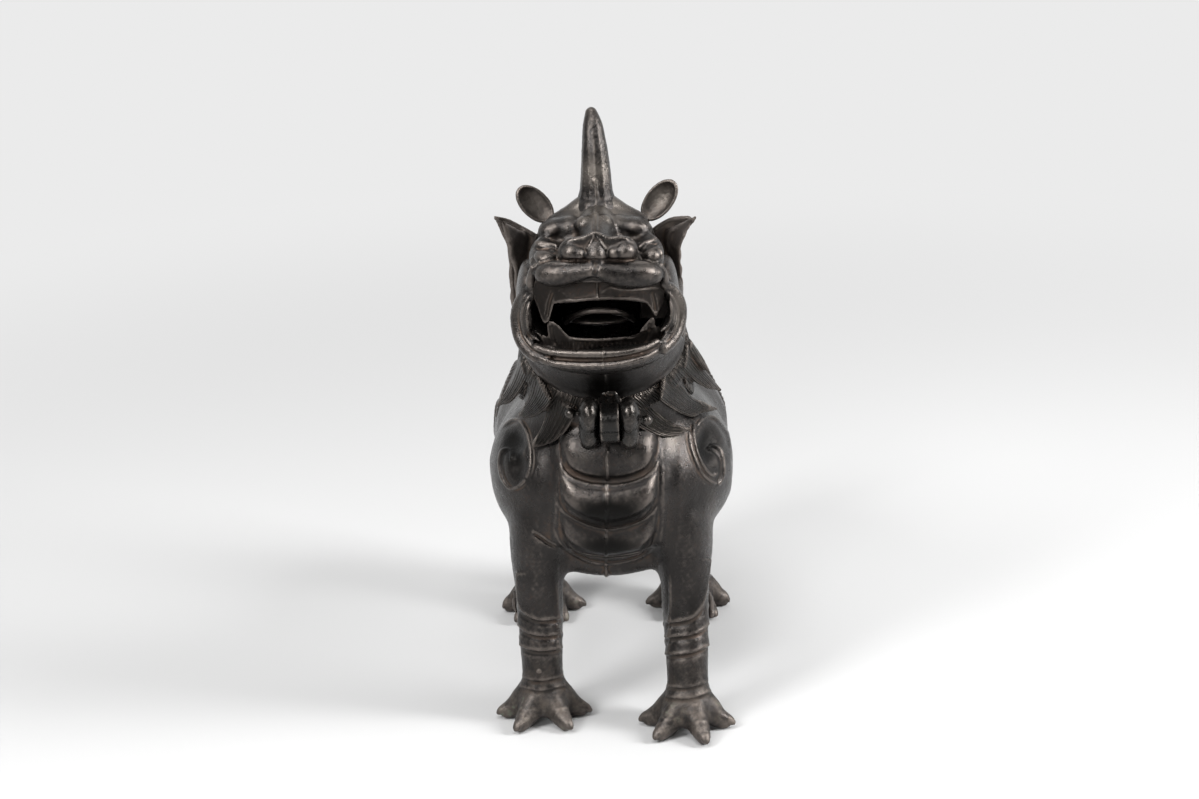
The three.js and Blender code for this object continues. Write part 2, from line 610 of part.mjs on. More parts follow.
/** A fang that tapers from a root height to a tip height. */
function fang(sign, root, tip) {
  const x = sign * FANG.spread;
  const points = [0, 0.5, 1].map((share) => onHead(x, toothForward(x), THREE.MathUtils.lerp(root, tip, share)));
  return limb(points, vec(0, 1, 0), through(FANG.halfWidth, FANG.halfWidth * 0.8, FANG.tip), through(FANG.halfThickness, FANG.halfThickness * 0.8, FANG.tip), 6, 5);
}

function upperToothPlate() {
  const edge = MOUTH.roof - UPPER_TOOTH_HEIGHT;
  let form = toothBand(edge, MOUTH.roof + TOOTH_ROOT_DEPTH);
  for (const { sign } of SIDES) form = form.add(fang(sign, MOUTH.roof - TOOTH_ROOT_DEPTH, edge - FANG.length));
  return form.subtract(headShell(JOINT_GAP)).subtract(beyond(onHead(0, 0, MOUTH.roof - JOINT_GAP), vec(0, 0, 1)));
}

function lowerToothPlate() {
  const edge = MOUTH.floor + LOWER_TOOTH_HEIGHT;
  let form = toothBand(MOUTH.floor - TOOTH_ROOT_DEPTH, edge);
  for (const { sign } of SIDES) form = form.add(fang(sign, MOUTH.floor + TOOTH_ROOT_DEPTH, edge + FANG.length * 0.8));
  return form.subtract(headShell(JOINT_GAP)).subtract(beyond(onHead(0, 0, MOUTH.floor + JOINT_GAP), vec(0, 0, -1)));
}

function tongue() {
  const floor = MOUTH.floor + JOINT_GAP;
  const points = [
    onHead(0, TONGUE.tipForward - TONGUE.length, floor + TONGUE.height * 0.25),
    onHead(0, TONGUE.tipForward - TONGUE.length * 0.4, floor + TONGUE.height * 0.5),
    onHead(0, TONGUE.tipForward, floor + TONGUE.height * 0.6),
  ];
  const width = through(TONGUE.halfWidth * 0.7, TONGUE.halfWidth, TONGUE.halfWidth * 0.75);
  const thickness = through(TONGUE.height * 0.3, TONGUE.height * 0.52, TONGUE.height * 0.4);
  return limb(points, vec(0, 0, 1), width, thickness, 12, 8)
    .subtract(beyond(onHead(0, 0, floor), vec(0, 0, -1)))
    .subtract(headShell(JOINT_GAP));
}

// Horn, ears and hood

function horn() {
  const base = SKULL.up + SKULL.halfHeight - HORN_SINK;
  const points = [
    onHead(0, SKULL.forward + HORN_LEAN * 0.6, base),
    onHead(0, SKULL.forward, base + (HORN_LENGTH + HORN_SINK) * 0.4),
    onHead(HORN_SIDE_LEAN * 0.6, SKULL.forward - HORN_LEAN * 0.8, base + (HORN_LENGTH + HORN_SINK) * 0.75),
    onHead(HORN_SIDE_LEAN, SKULL.forward - HORN_LEAN, base + HORN_LENGTH + HORN_SINK),
  ];
  const radius = through(HORN_BASE_RADIUS * 1.1, HORN_BASE_RADIUS * 0.8, HORN_BASE_RADIUS * 0.58, HORN_BASE_RADIUS * 0.25);
  return limb(points, vec(0, 1, 0), radius, radius, 12, 12).subtract(headOutside(JOINT_GAP));
}

function ear(sign) {
  const out = vec(sign * Math.sin(rad(EAR.splayDeg)), 0, Math.cos(rad(EAR.splayDeg)));
  const root = onHead(sign * EAR.spread, EAR.on.forward + EAR.forward, EAR.on.up + EAR.up);
  const points = [0, 0.3, 0.7, 1].map((share) => root.clone().addScaledVector(out, EAR.length * share));
  const width = through(EAR.halfWidth * 0.55, EAR.halfWidth * 0.8, EAR.halfWidth, EAR.halfWidth * 0.6);
  const thickness = through(EAR.halfThickness * 1.6, EAR.halfThickness, EAR.halfThickness * 0.9, EAR.halfThickness * 0.8);
  return limb(points, vec(0, -1, 0.1), width, thickness, 12, 10, EAR.cup).subtract(headOutside(JOINT_GAP));
}

/** The mane hood: a curved sheet round the back and sides of the head, drawn up to two tips. */
function maneHood() {
  const inner = NECK_RADIUS - HEAD_RIM_PROUD + JOINT_GAP;
  const skirt = HEAD_RIM_HEIGHT + JOINT_GAP;
  const geometry = reshape(new THREE.BoxGeometry(2, 1, 1, 24, 5, 1), (p) => {
    const share = p.y + 0.5;
    const toFront = Math.abs(p.x);
    const frontAngle = rad(HOOD_FRONT_ANGLE_DEG + HOOD_FRONT_LEAN_DEG * share);
    const angle = Math.PI + p.x * (Math.PI - frontAngle);
    const top = THREE.MathUtils.lerp(HOOD_BACK_HEIGHT, HOOD_SIDE_HEIGHT, toFront ** 6);
    const height = THREE.MathUtils.lerp(skirt, top, share);
    const flare = HOOD_FLARE * share + HOOD_TIP_REACH * share ** 4 * toFront ** 8;
    return roundNeck(angle, inner + flare + (p.z + 0.5) * HOOD_THICKNESS, height);
  });
  return solidOf(geometry).subtract(headOutside(JOINT_GAP));
}

// Ash pan

/** The height of the floor of the hollow body at a place. */
function hollowFloor(x, y) {
  const along = (y - bodyCentreY) / (BODY_LENGTH / 2 - WALL);
  const share = (along + 1) / 2;
  const swell = (1 - Math.abs(along) ** LENGTH_FULLNESS) ** (1 / LENGTH_FULLNESS);
  const across = Math.abs(x) / (swell * (halfWidthAlong(share) - WALL));
  const sag = (1 - across ** SECTION_FULLNESS) ** (1 / SECTION_FULLNESS);
  return widestAlong(share) - swell * (widestAlong(share) - bellyAlong(share) - WALL) * sag;
}

/** A shallow dish with a rolled rim, whose base rests on the floor of the hollow body. */
function ashPan() {
  const seats = [];
  for (let turn = 0; turn < 16; turn += 1) {
    const angle = (turn / 16) * Math.PI * 2;
    const [x, y] = [Math.cos(angle), Math.sin(angle)].map((share) => share * ASH_PAN_BASE_RADIUS);
    seats.push(hollowFloor(x, ASH_PAN_SETBACK + y));
  }
  const floor = Math.max(...seats) + JOINT_GAP;
  const [base, rim, depth, wall] = [ASH_PAN_BASE_RADIUS, ASH_PAN_RADIUS, ASH_PAN_DEPTH, ASH_PAN_WALL];
  const profile = [
    [0, 0], [base, 0], [rim - wall, depth * 0.7], [rim, depth], [rim + wall, depth], [rim + wall, depth + wall],
    [rim - wall, depth + wall], [rim - wall * 2, depth * 0.7 + wall * 0.4], [base - wall * 0.4, wall], [0, wall],
  ];
  const bowl = new THREE.LatheGeometry(profile.map(([r, h]) => new THREE.Vector2(r, h)), 24);
  bowl.rotateX(Math.PI / 2).translate(0, ASH_PAN_SETBACK, floor);
  const casting = bodyForm(WALL).subtract(bodyForm(-WALL - JOINT_GAP));
  return solidOf(bowl).subtract(casting);
}

// Assembly

const bronze = (color, roughness) => new THREE.MeshStandardMaterial({ color, roughness, metalness: 0.9 });
const FINISH = {
  body: bronze('#2b2724', 0.42),
  legs: bronze('#2f2a27', 0.45),
  head: bronze('#2d2926', 0.4),
  mane: bronze('#33302d', 0.5),
  hinge: bronze('#262423', 0.35),
  pan: bronze('#4a3a2a', 0.6),
};

/** A solid as a named mesh. */
function piece(name, solid, finish) {
  const { vertProperties, triVerts } = solid.getMesh();
  const geometry = new THREE.BufferGeometry();
  geometry.setAttribute('position', new THREE.BufferAttribute(vertProperties, 3));
  geometry.setIndex(new THREE.BufferAttribute(triVerts, 1));
  geometry.computeVertexNormals();
  const mesh = new THREE.Mesh(geometry, finish);
  mesh.name = name;
  return mesh;
}

const vessel = new THREE.Group();
vessel.add(piece('body_shell', bodyShell(), FINISH.body));
vessel.add(piece('mane_collar', maneCollar(), FINISH.mane));
vessel.add(piece('tail', tail(), FINISH.mane));
vessel.add(piece('ash_pan', ashPan(), FINISH.pan));
vessel.add(piece('hinge_pin', hingePin(), FINISH.hinge));
vessel.add(piece('hinge_pin_ball', pinBall(), FINISH.hinge));
for (const { sign, word } of SIDES) {
  vessel.add(piece(`front_${word}_leg`, leg(sign, true), FINISH.legs));
  vessel.add(piece(`rear_${word}_leg`, leg(sign, false), FINISH.legs));
  vessel.add(piece(`hinge_lug_${word}`, hingeLug(sign), FINISH.hinge));
}

const head = new THREE.Group();
head.add(piece('head_shell', headShell(0), FINISH.head));
head.add(piece('mane_hood', maneHood(), FINISH.mane));
head.add(piece('horn', horn(), FINISH.head));
head.add(piece('upper_tooth_plate', upperToothPlate(), FINISH.head));
head.add(piece('lower_tooth_plate', lowerToothPlate(), FINISH.head));
head.add(piece('tongue', tongue(), FINISH.head));
head.add(piece('hinge_leaf', hingeLeaf(), FINISH.hinge));
for (const { sign, word } of SIDES) head.add(piece(`ear_${word}`, ear(sign), FINISH.head));

// The origin stands on the floor, under the middle of the whole object
const burner = new THREE.Group();
burner.add(vessel, head);
const extent = new THREE.Box3().setFromObject(burner);
burner.position.y = -(extent.min.y + extent.max.y) / 2;

export default burner;
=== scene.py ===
"""Looks of a cast bronze incense burner: a horned beast on four paws, whose head is the lid."""
import math

import bmesh
import bpy
import numpy as np
from mathutils import Euler, Matrix, Vector


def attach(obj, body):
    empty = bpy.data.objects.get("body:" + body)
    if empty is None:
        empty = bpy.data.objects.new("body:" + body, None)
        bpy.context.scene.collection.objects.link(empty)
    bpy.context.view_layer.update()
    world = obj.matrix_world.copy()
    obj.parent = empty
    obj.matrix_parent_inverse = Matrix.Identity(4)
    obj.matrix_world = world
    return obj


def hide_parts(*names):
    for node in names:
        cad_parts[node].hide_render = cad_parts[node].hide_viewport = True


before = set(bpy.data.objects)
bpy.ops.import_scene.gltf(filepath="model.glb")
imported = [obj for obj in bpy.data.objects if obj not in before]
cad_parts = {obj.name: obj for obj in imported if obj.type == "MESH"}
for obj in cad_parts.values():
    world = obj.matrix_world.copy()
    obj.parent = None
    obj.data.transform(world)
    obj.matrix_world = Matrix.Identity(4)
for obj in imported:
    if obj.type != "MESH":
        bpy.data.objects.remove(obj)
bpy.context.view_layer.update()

MM = 0.001

# Line of sight of the photograph, in its pixels, millimetres and degrees
PHOTO_WIDTH, PHOTO_HEIGHT, PHOTO_FOCUS = 1199, 799, 2700
EYE_PLACE = Vector((17.7, -1225.1, 589.6))
EYE_TURN, EYE_DROP, EYE_ROLL = math.radians(1.0), math.radians(20.0), math.radians(2.0)
AHEAD = Vector((-math.sin(EYE_TURN) * math.cos(EYE_DROP), math.cos(EYE_TURN) * math.cos(EYE_DROP),
                -math.sin(EYE_DROP)))
LEVEL = Vector((math.cos(EYE_TURN), math.sin(EYE_TURN), 0))
RIGHT = LEVEL * math.cos(EYE_ROLL) - LEVEL.cross(AHEAD) * math.sin(EYE_ROLL)
UP = LEVEL.cross(AHEAD) * math.cos(EYE_ROLL) + LEVEL * math.sin(EYE_ROLL)

# Where the photograph shows the middles of the face and chest, and its pixels to a millimetre there
FACE_MIDDLE, CHEST_MIDDLE, FACE_SCALE = 597, 608, 2.27

# Middle of the neck opening and its slope, as in the solids
NECK = Vector((0, -41.3, 188))
NECK_SLOPE = math.radians(29)
NECK_OUT = Vector((0, -math.sin(NECK_SLOPE), math.cos(NECK_SLOPE)))
NECK_RADIUS = 37.8
WALL = 3

# The most triangles that a finished piece keeps
MOST_TRIANGLES = {"body": 195000, "leg": 70000, "mane": 190000, "head": 195000, "hood": 90000, "tail": 40000,
                  "small": 60000}


def sight(px, py, y):
    """The place in millimetres that a pixel of the photograph shows, at a depth y."""
    across, down = (px - PHOTO_WIDTH / 2) / PHOTO_FOCUS, (py - PHOTO_HEIGHT / 2) / PHOTO_FOCUS
    ray = AHEAD + RIGHT * across - UP * down
    return EYE_PLACE + ray * ((y - EYE_PLACE.y) / ray.y)


def bent_back(px, y, bend):
    """A depth at the middle of the face, curved back towards the sides."""
    return y + bend * ((px - FACE_MIDDLE) / FACE_SCALE) ** 2


def seen_at(points):
    """The pixels at which the photograph shows places in millimetres."""
    away = points - np.array(EYE_PLACE)
    depth = away @ np.array(AHEAD)
    across = PHOTO_WIDTH / 2 + PHOTO_FOCUS * (away @ np.array(RIGHT)) / depth
    down = PHOTO_HEIGHT / 2 - PHOTO_FOCUS * (away @ np.array(UP)) / depth
    return np.stack([across, down], axis=1)


def on_head(x, forward, up):
    """A place on the head, from the middle of the neck opening."""
    return Vector((x, NECK.y - forward, NECK.z + up))


def flow(points, count=40):
    """Many points on a smooth line through a few."""
    given = np.array([tuple(p) for p in points], float)
    held = np.vstack([2 * given[0] - given[1], given, 2 * given[-1] - given[-2]])
    line = []
    for share in np.linspace(0, len(given) - 1, count):
        i = min(int(share), len(given) - 2)
        t = share - i
        a, b, c, d = held[i:i + 4]
        bend = 2 * a - 5 * b + 4 * c - d
        twist = 3 * b - a - 3 * c + d
        line.append(0.5 * (2 * b + (c - a) * t + bend * t * t + twist * t ** 3))
    return np.array(line)


def along(values, count):
    """Values that run evenly through a few given ones."""
    return np.interp(np.linspace(0, 1, count), np.linspace(0, 1, len(values)), values)


def moved(line, across=0, down=0, middle=None):
    """A line of pixels moved across and down. With a middle, across counts outwards from there."""
    if middle is None:
        return [(x + across, y + down) for x, y in line]
    return [(x + across * math.copysign(1, x - middle), y + down) for x, y in line]


def rising(values, low, width):
    """0 up to a low value, then evenly up to 1 over a width."""
    return np.clip((values - low) / width, 0, 1)


def falling(values, high, width):
    """1 at first, then evenly down over a width, to 0 at a high value."""
    return np.clip((high - values) / width, 0, 1)


def dome(distance):
    """1 in the middle, falling smoothly to 0 at a distance of 1."""
    return (1 - distance.clip(0, 1) ** 2) ** 2


def bell(distance, width):
    """1 at no distance, fading smoothly on both sides. width is how soon it fades."""
    return np.exp(-(distance / width) ** 2)


# Forms

def mesh_of(form):
    """A mesh from a bmesh, which is let go."""
    mesh = bpy.data.meshes.new("form")
    form.to_mesh(mesh)
    form.free()
    return mesh


def take_in(form, mesh):
    """Adds a mesh to a form. The mesh is removed."""
    form.from_mesh(mesh)
    bpy.data.meshes.remove(mesh)


def ball(form, matrix, fine):
    """Adds a unit ball under a matrix. It is made alone first, because a large form is slow to add to."""
    alone = bmesh.new()
    bmesh.ops.create_uvsphere(alone, u_segments=fine, v_segments=fine * 2 // 3, radius=1, matrix=matrix)
    take_in(form, mesh_of(alone))


def lump(form, centre, half, turn=(0, 0, 0), fine=20):
    """Adds an ellipsoid with half sizes in millimetres, turned by degrees."""
    turned = Euler([math.radians(a) for a in turn]).to_matrix().to_4x4()
    sizes = Matrix.Diagonal((*(Vector(half) * MM), 1))
    ball(form, Matrix.Translation(Vector(centre) * MM) @ turned @ sizes, fine)


def roll(form, points, radii, count=36):
    """Adds a round roll along a smooth line, as a chain of balls close together."""
    for place, radius in zip(flow(points, count), along(radii, count)):
        lump(form, place, (radius, radius, radius), fine=12)


def blade(form, points, widths, thicknesses, facing, count=30):
    """Adds a flat tapered lock along a smooth line. Its flat side looks along facing."""
    line = flow(points, count)
    tangents = np.gradient(line, axis=0)
    step = float(np.linalg.norm(tangents, axis=1).mean())
    parts = zip(line, tangents, along(widths, count), along(thicknesses, count))
    for place, tangent, width, thickness in parts:
        ahead = Vector(tangent).normalized()
        across = Vector(facing).cross(ahead).normalized()
        out = ahead.cross(across)
        reach = max(step * 1.3, thickness)
        axes = Matrix((ahead * reach, across * width, out * thickness)).transposed().to_4x4()
        ball(form, Matrix.Translation(Vector(place) * MM) @ Matrix.Scale(MM, 4) @ axes, 14)


def tube(form, base, way, radius, length, top_radius=None, sides=64):
    """Adds a round bar from a base along a direction."""
    top = radius if top_radius is None else top_radius
    turned = Vector((0, 0, 1)).rotation_difference(Vector(way)).to_matrix().to_4x4()
    middle = Vector(base) + Vector(way).normalized() * (length / 2)
    bmesh.ops.create_cone(form, cap_ends=True, segments=sides, radius1=radius * MM, radius2=top * MM,
                          depth=length * MM, matrix=Matrix.Translation(middle * MM) @ turned)


def slab(form, outline, y, depth, bend=0.0):
    """Adds a block whose outline the photograph shows. Its front is at a depth y, and may bend back."""
    verts = [form.verts.new(sight(px, py, bent_back(px, y, bend)) * MM) for px, py in outline]
    face = form.faces.new(verts)
    made = bmesh.ops.extrude_face_region(form, geom=[face])["geom"]
    back = [part for part in made if isinstance(part, bmesh.types.BMVert)]
    bmesh.ops.translate(form, verts=back, vec=AHEAD * (depth * MM))
    bmesh.ops.recalc_face_normals(form, faces=form.faces[:])


def swelling(form, px, py, y, wide, tall, deep):
    """Adds a rounded form that the photograph shows. wide and tall are half sizes in pixels."""
    lump(form, sight(px, py, y), (wide / FACE_SCALE, deep, tall / FACE_SCALE), fine=24)


def solid_copy(form, name):
    """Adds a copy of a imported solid, with its corners merged."""
    form.from_mesh(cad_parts[name].data)
    bmesh.ops.remove_doubles(form, verts=form.verts, dist=1e-6)


def drop_points(form, unwanted):
    """Deletes the points of a form that a list of true and false names."""
    form.verts.ensure_lookup_table()
    bmesh.ops.delete(form, geom=[form.verts[i] for i in np.flatnonzero(unwanted)], context="VERTS")


def shown(mesh, name="form"):
    """An object in the scene that holds a mesh."""
    thing = bpy.data.objects.new(name, mesh)
    bpy.context.scene.collection.objects.link(thing)
    return thing


def settled(thing):
    """A new mesh of an object with its modifiers applied. The object is removed."""
    mesh = bpy.data.meshes.new_from_object(thing.evaluated_get(bpy.context.evaluated_depsgraph_get()))
    old = thing.data
    bpy.data.objects.remove(thing)
    bpy.data.meshes.remove(old)
    return mesh


def one_skin(mesh, grain, rounds):
    """One even skin round all that a mesh holds, softened by some rounds. grain is its spacing."""
    thing = shown(mesh)
    skin = thing.modifiers.new("skin", "REMESH")
    skin.mode = "VOXEL"
    skin.voxel_size = grain * MM
    skin.use_smooth_shade = True
    soft = thing.modifiers.new("soft", "SMOOTH")
    soft.factor = 0.5
    soft.iterations = rounds
    return settled(thing)


def outer_skin(mesh):
    """Leaves only the largest closed skin of a mesh."""
    edges = np.empty(len(mesh.edges) * 2, np.int64)
    mesh.edges.foreach_get("vertices", edges)
    edges = edges.reshape(-1, 2)
    label = np.arange(len(mesh.vertices))
    while True:
        low = np.minimum(label[edges[:, 0]], label[edges[:, 1]])
        new = label.copy()
        np.minimum.at(new, edges[:, 0], low)
        np.minimum.at(new, edges[:, 1], low)
        new = new[new]
        if np.array_equal(new, label):
            break
        label = new
    kept = np.bincount(label).argmax()
    if np.all(label == kept):
        return mesh
    form = bmesh.new()
    form.from_mesh(mesh)
    drop_points(form, label != kept)
    form.to_mesh(mesh)
    form.free()
    return mesh


def cut(mesh, tool, how="DIFFERENCE"):
    """A mesh cut by a tool mesh, which stays."""
    thing, cutter = shown(mesh), shown(tool, "tool")
    join = thing.modifiers.new("cut", "BOOLEAN")
    join.operation = how
    join.solver = "MANIFOLD"
    join.object = cutter
    made = settled(thing)
    bpy.data.objects.remove(cutter)
    return made


def thinned(mesh, most):
    """A mesh with at most a number of triangles, kept finest where it bends."""
    mesh.calc_loop_triangles()
    have = len(mesh.loop_triangles)
    if have <= most:
        return mesh
    thing = shown(mesh)
    fewer = thing.modifiers.new("fewer", "DECIMATE")
    fewer.ratio = most / have
    return outer_skin(settled(thing))


class Casting:
    """A cast skin whose details are raised and cut with strokes. Lengths are in millimetres."""

    def __init__(self, mesh):
        self.mesh = mesh
        count = len(mesh.vertices)
        self.place = np.empty(count * 3)
        mesh.vertices.foreach_get("co", self.place)
        self.place = self.place.reshape(-1, 3) / MM
        edges = np.empty(len(mesh.edges) * 2, np.int64)
        mesh.edges.foreach_get("vertices", edges)
        self.edges = edges.reshape(-1, 2)
        self.links = np.bincount(self.edges.ravel(), minlength=count).clip(1)
        # Painted shade above 0, painted highlights and wear below 0, for each point
        self.painted_light_and_wear = np.zeros(count)
        self.settle()

    def settle(self):
        """Takes up the present shape: its outward directions and the pixels that show it."""
        self.mesh.vertices.foreach_set("co", (self.place * MM).ravel())
        self.mesh.update()
        self.out = np.empty(self.place.size)
        self.mesh.vertex_normals.foreach_get("vector", self.out)
        self.out = self.out.reshape(-1, 3)
        self.pixel = seen_at(self.place)
        to_eye = np.array(EYE_PLACE) - self.place
        self.facing = (self.out * to_eye).sum(1) / np.linalg.norm(to_eye, axis=1)
        self.seen = np.clip(self.facing * 3, 0, 1)

    def push(self, amount):
        """Moves points outwards, each by its own amount."""
        self.place += self.out * amount[:, None]

    def mean(self, values):
        """The mean of each point's neighbours."""
        total = np.zeros_like(values)
        for column in range(values.shape[1]):
            one = values[:, column]
            total[:, column] = (np.bincount(self.edges[:, 0], one[self.edges[:, 1]], len(one))
                                + np.bincount(self.edges[:, 1], one[self.edges[:, 0]], len(one)))
        return total / self.links[:, None]

    def soften(self, share, rounds):
        """Softens points by a share from 0 to 1."""
        for _ in range(rounds):
            self.place += (self.mean(self.place) - self.place) * (0.5 * share)[:, None]
        self.settle()

    def near(self, path, width, spots):
        """For points near a line: which they are, their distance from it, its side, and the way along it."""
        line = flow(path, max(8, 6 * len(path)))
        low, high = line.min(0) - width, line.max(0) + width
        chosen = np.flatnonzero(np.all((spots >= low) & (spots <= high), axis=1))
        best = np.full(len(chosen), np.inf)
        side, way = np.zeros(len(chosen)), np.zeros(len(chosen))
        lengths = np.linalg.norm(np.diff(line, axis=0), axis=1)
        passed, whole = 0.0, lengths.sum()
        for a, b, length in zip(line[:-1], line[1:], lengths):
            gap = spots[chosen] - a
            t = np.clip(gap @ (b - a) / max(length, 1e-9) ** 2, 0, 1)
            distance = np.linalg.norm(gap - t[:, None] * (b - a), axis=1)
            nearer = distance < best
            best[nearer] = distance[nearer]
            way[nearer] = (passed + t[nearer] * length) / whole
            turned = (b - a)[0] * gap[nearer, 1] - (b - a)[1] * gap[nearer, 0]
            side[nearer] = turned / max(length, 1e-9)
            passed += length
        close = best < width
        return chosen[close], best[close], side[close], way[close]

    def stroke(self, path, width, rise, where=None, fade=0.12):
        """Raises or cuts a line of pixels on what the photograph shows. width is in pixels."""
        chosen, distance, _, way = self.near(path, width, self.pixel)
        amount = rise * dome(distance / width)
        if fade:
            amount *= np.clip(np.minimum(way, 1 - way) / fade, 0, 1)
        amount *= self.seen[chosen]
        if where is not None:
            amount *= where[chosen]
        self.place[chosen] += self.out[chosen] * amount[:, None]

    def swell(self, centre, radius, rise, where):
        """Raises or hollows a round area that the photograph shows. Its sizes are in pixels."""
        distance = np.linalg.norm((self.pixel - np.array(centre)) / np.array(radius, float), axis=1)
        self.push(rise * dome(distance) * self.seen * where)

    def mark_light_and_wear(self, centre, radius, amount):
        """Notes painted shade above 0, and painted highlights or wear below 0, on a round area the photograph
        shows.
        """
        distance = np.linalg.norm((self.pixel - np.array(centre)) / np.array(radius), axis=1)
        self.painted_light_and_wear += amount * dome(distance) * self.seen

    def uneven(self, height=0.022, seed=7):
        """Gives the skin the small unevenness of a casting, as many faint waves."""
        shortest, longest, waves, usual_sum = 1.1, 3.4, 28, 3.7
        chance = np.random.default_rng(seed)
        rise = np.zeros(len(self.place))
        for _ in range(waves):
            way = chance.normal(size=3)
            way *= 2 * math.pi / chance.uniform(shortest, longest) / np.linalg.norm(way)
            rise += np.sin(self.place @ way + chance.uniform(0, 6.3))
        self.push(height * rise / usual_sum)

    def done(self):
        """Writes the shape, painted shade, highlights and wear, and its relief, above 0 on ridges and below 0
        in hollows.
        """
        fine_rounds, broad_rounds = 4, 14
        self.settle()
        self.uneven()
        self.settle()
        calm = self.place
        for turn in range(broad_rounds):
            if turn == fine_rounds:
                fine = calm
            calm = self.mean(calm)
        broad_relief = ((self.place - calm) * self.out).sum(1)
        fine_relief = ((self.place - fine) * self.out).sum(1)
        self.write("relief", broad_relief + 1.5 * fine_relief)
        self.write("painted_light_and_wear", self.painted_light_and_wear)
        return self.mesh

    def write(self, name, values):
        """Keeps a value of each point with the mesh, for its finish."""
        kept = self.mesh.attributes.new(name, "FLOAT", "POINT")
        kept.data.foreach_set("value", values.astype(np.float32))


# Finishes

class Tone:
    """A value on a surface that takes part in sums."""

    def __init__(self, finish, socket):
        self.finish = finish
        self.socket = socket

    def sum(self, operation, first, second):
        """A Math node on two values."""
        return self.finish.node("ShaderNodeMath", {"operation": operation}, {0: first, 1: second})

    def __add__(self, other):
        return self.sum("ADD", self, other)

    def __radd__(self, other):
        return self.sum("ADD", other, self)

    def __sub__(self, other):
        return self.sum("SUBTRACT", self, other)

    def __rsub__(self, other):
        return self.sum("SUBTRACT", other, self)

    def __mul__(self, other):
        return self.sum("MULTIPLY", self, other)

    def __rmul__(self, other):
        return self.sum("MULTIPLY", other, self)

    def rise(self, low, high, least=0.0, most=1.0):
        """The least below low, the most above high, and smooth between."""
        return self.finish.node("ShaderNodeMapRange", {"interpolation_type": "SMOOTHSTEP"}, {
            "Value": self, "From Min": low, "From Max": high, "To Min": least, "To Max": most})


class Finish:
    """The nodes of a material or of the world."""

    def __init__(self, owner):
        self.owner = owner
        owner.use_nodes = True
        self.tree = owner.node_tree
        self.tree.nodes.clear()

    def node(self, kind, settings, sockets, out=0):
        """Adds a node of a kind, with its settings and then the values or links of its sockets."""
        made = self.tree.nodes.new(kind)
        for key, value in settings.items():
            setattr(made, key, value)
        for key, value in sockets.items():
            if isinstance(value, Tone):
                self.tree.links.new(value.socket, made.inputs[key])
            else:
                made.inputs[key].default_value = value
        return Tone(self, made.outputs[out]) if len(made.outputs) else None

    def mix(self, share, first, second):
        """A colour between two colours."""
        return self.node("ShaderNodeMix", {"data_type": "RGBA"}, {0: share, 6: first, 7: second}, 2)

    def noise(self, place, scale, detail, roughness=0.5):
        """A cloudy pattern."""
        return self.node("ShaderNodeTexNoise", {}, {"Vector": place, "Scale": scale, "Detail": detail,
                                                    "Roughness": roughness})

    def value(self, name):
        """A value that the mesh keeps for each point."""
        return self.node("ShaderNodeAttribute", {"attribute_name": name}, {}, "Fac")

    def shown_to(self, *rays):
        """1 for the kinds of ray that are named, and 0 for others."""
        kinds = [self.node("ShaderNodeLightPath", {}, {}, "Is %s Ray" % ray) for ray in rays]
        return sum(kinds[1:], kinds[0]).rise(0, 1)


def rgb(*levels):
    """A colour written as it looks on a screen, from 0 to 255."""
    shares = []
    for level in levels:
        share = level / 255
        shares.append(share / 12.92 if level <= 10 else ((share + 0.055) / 1.055) ** 2.4)
    return (*shares, 1)


# The pale grey stands for wear and painted highlights, the near black for painted shade.
RUST, VERDIGRIS, WEAR_AND_HIGHLIGHT_GREY, PAINTED_SHADE_DARK = rgb(76, 57, 45), rgb(92, 110, 92), rgb(126, 119, 112), rgb(21, 20, 19)


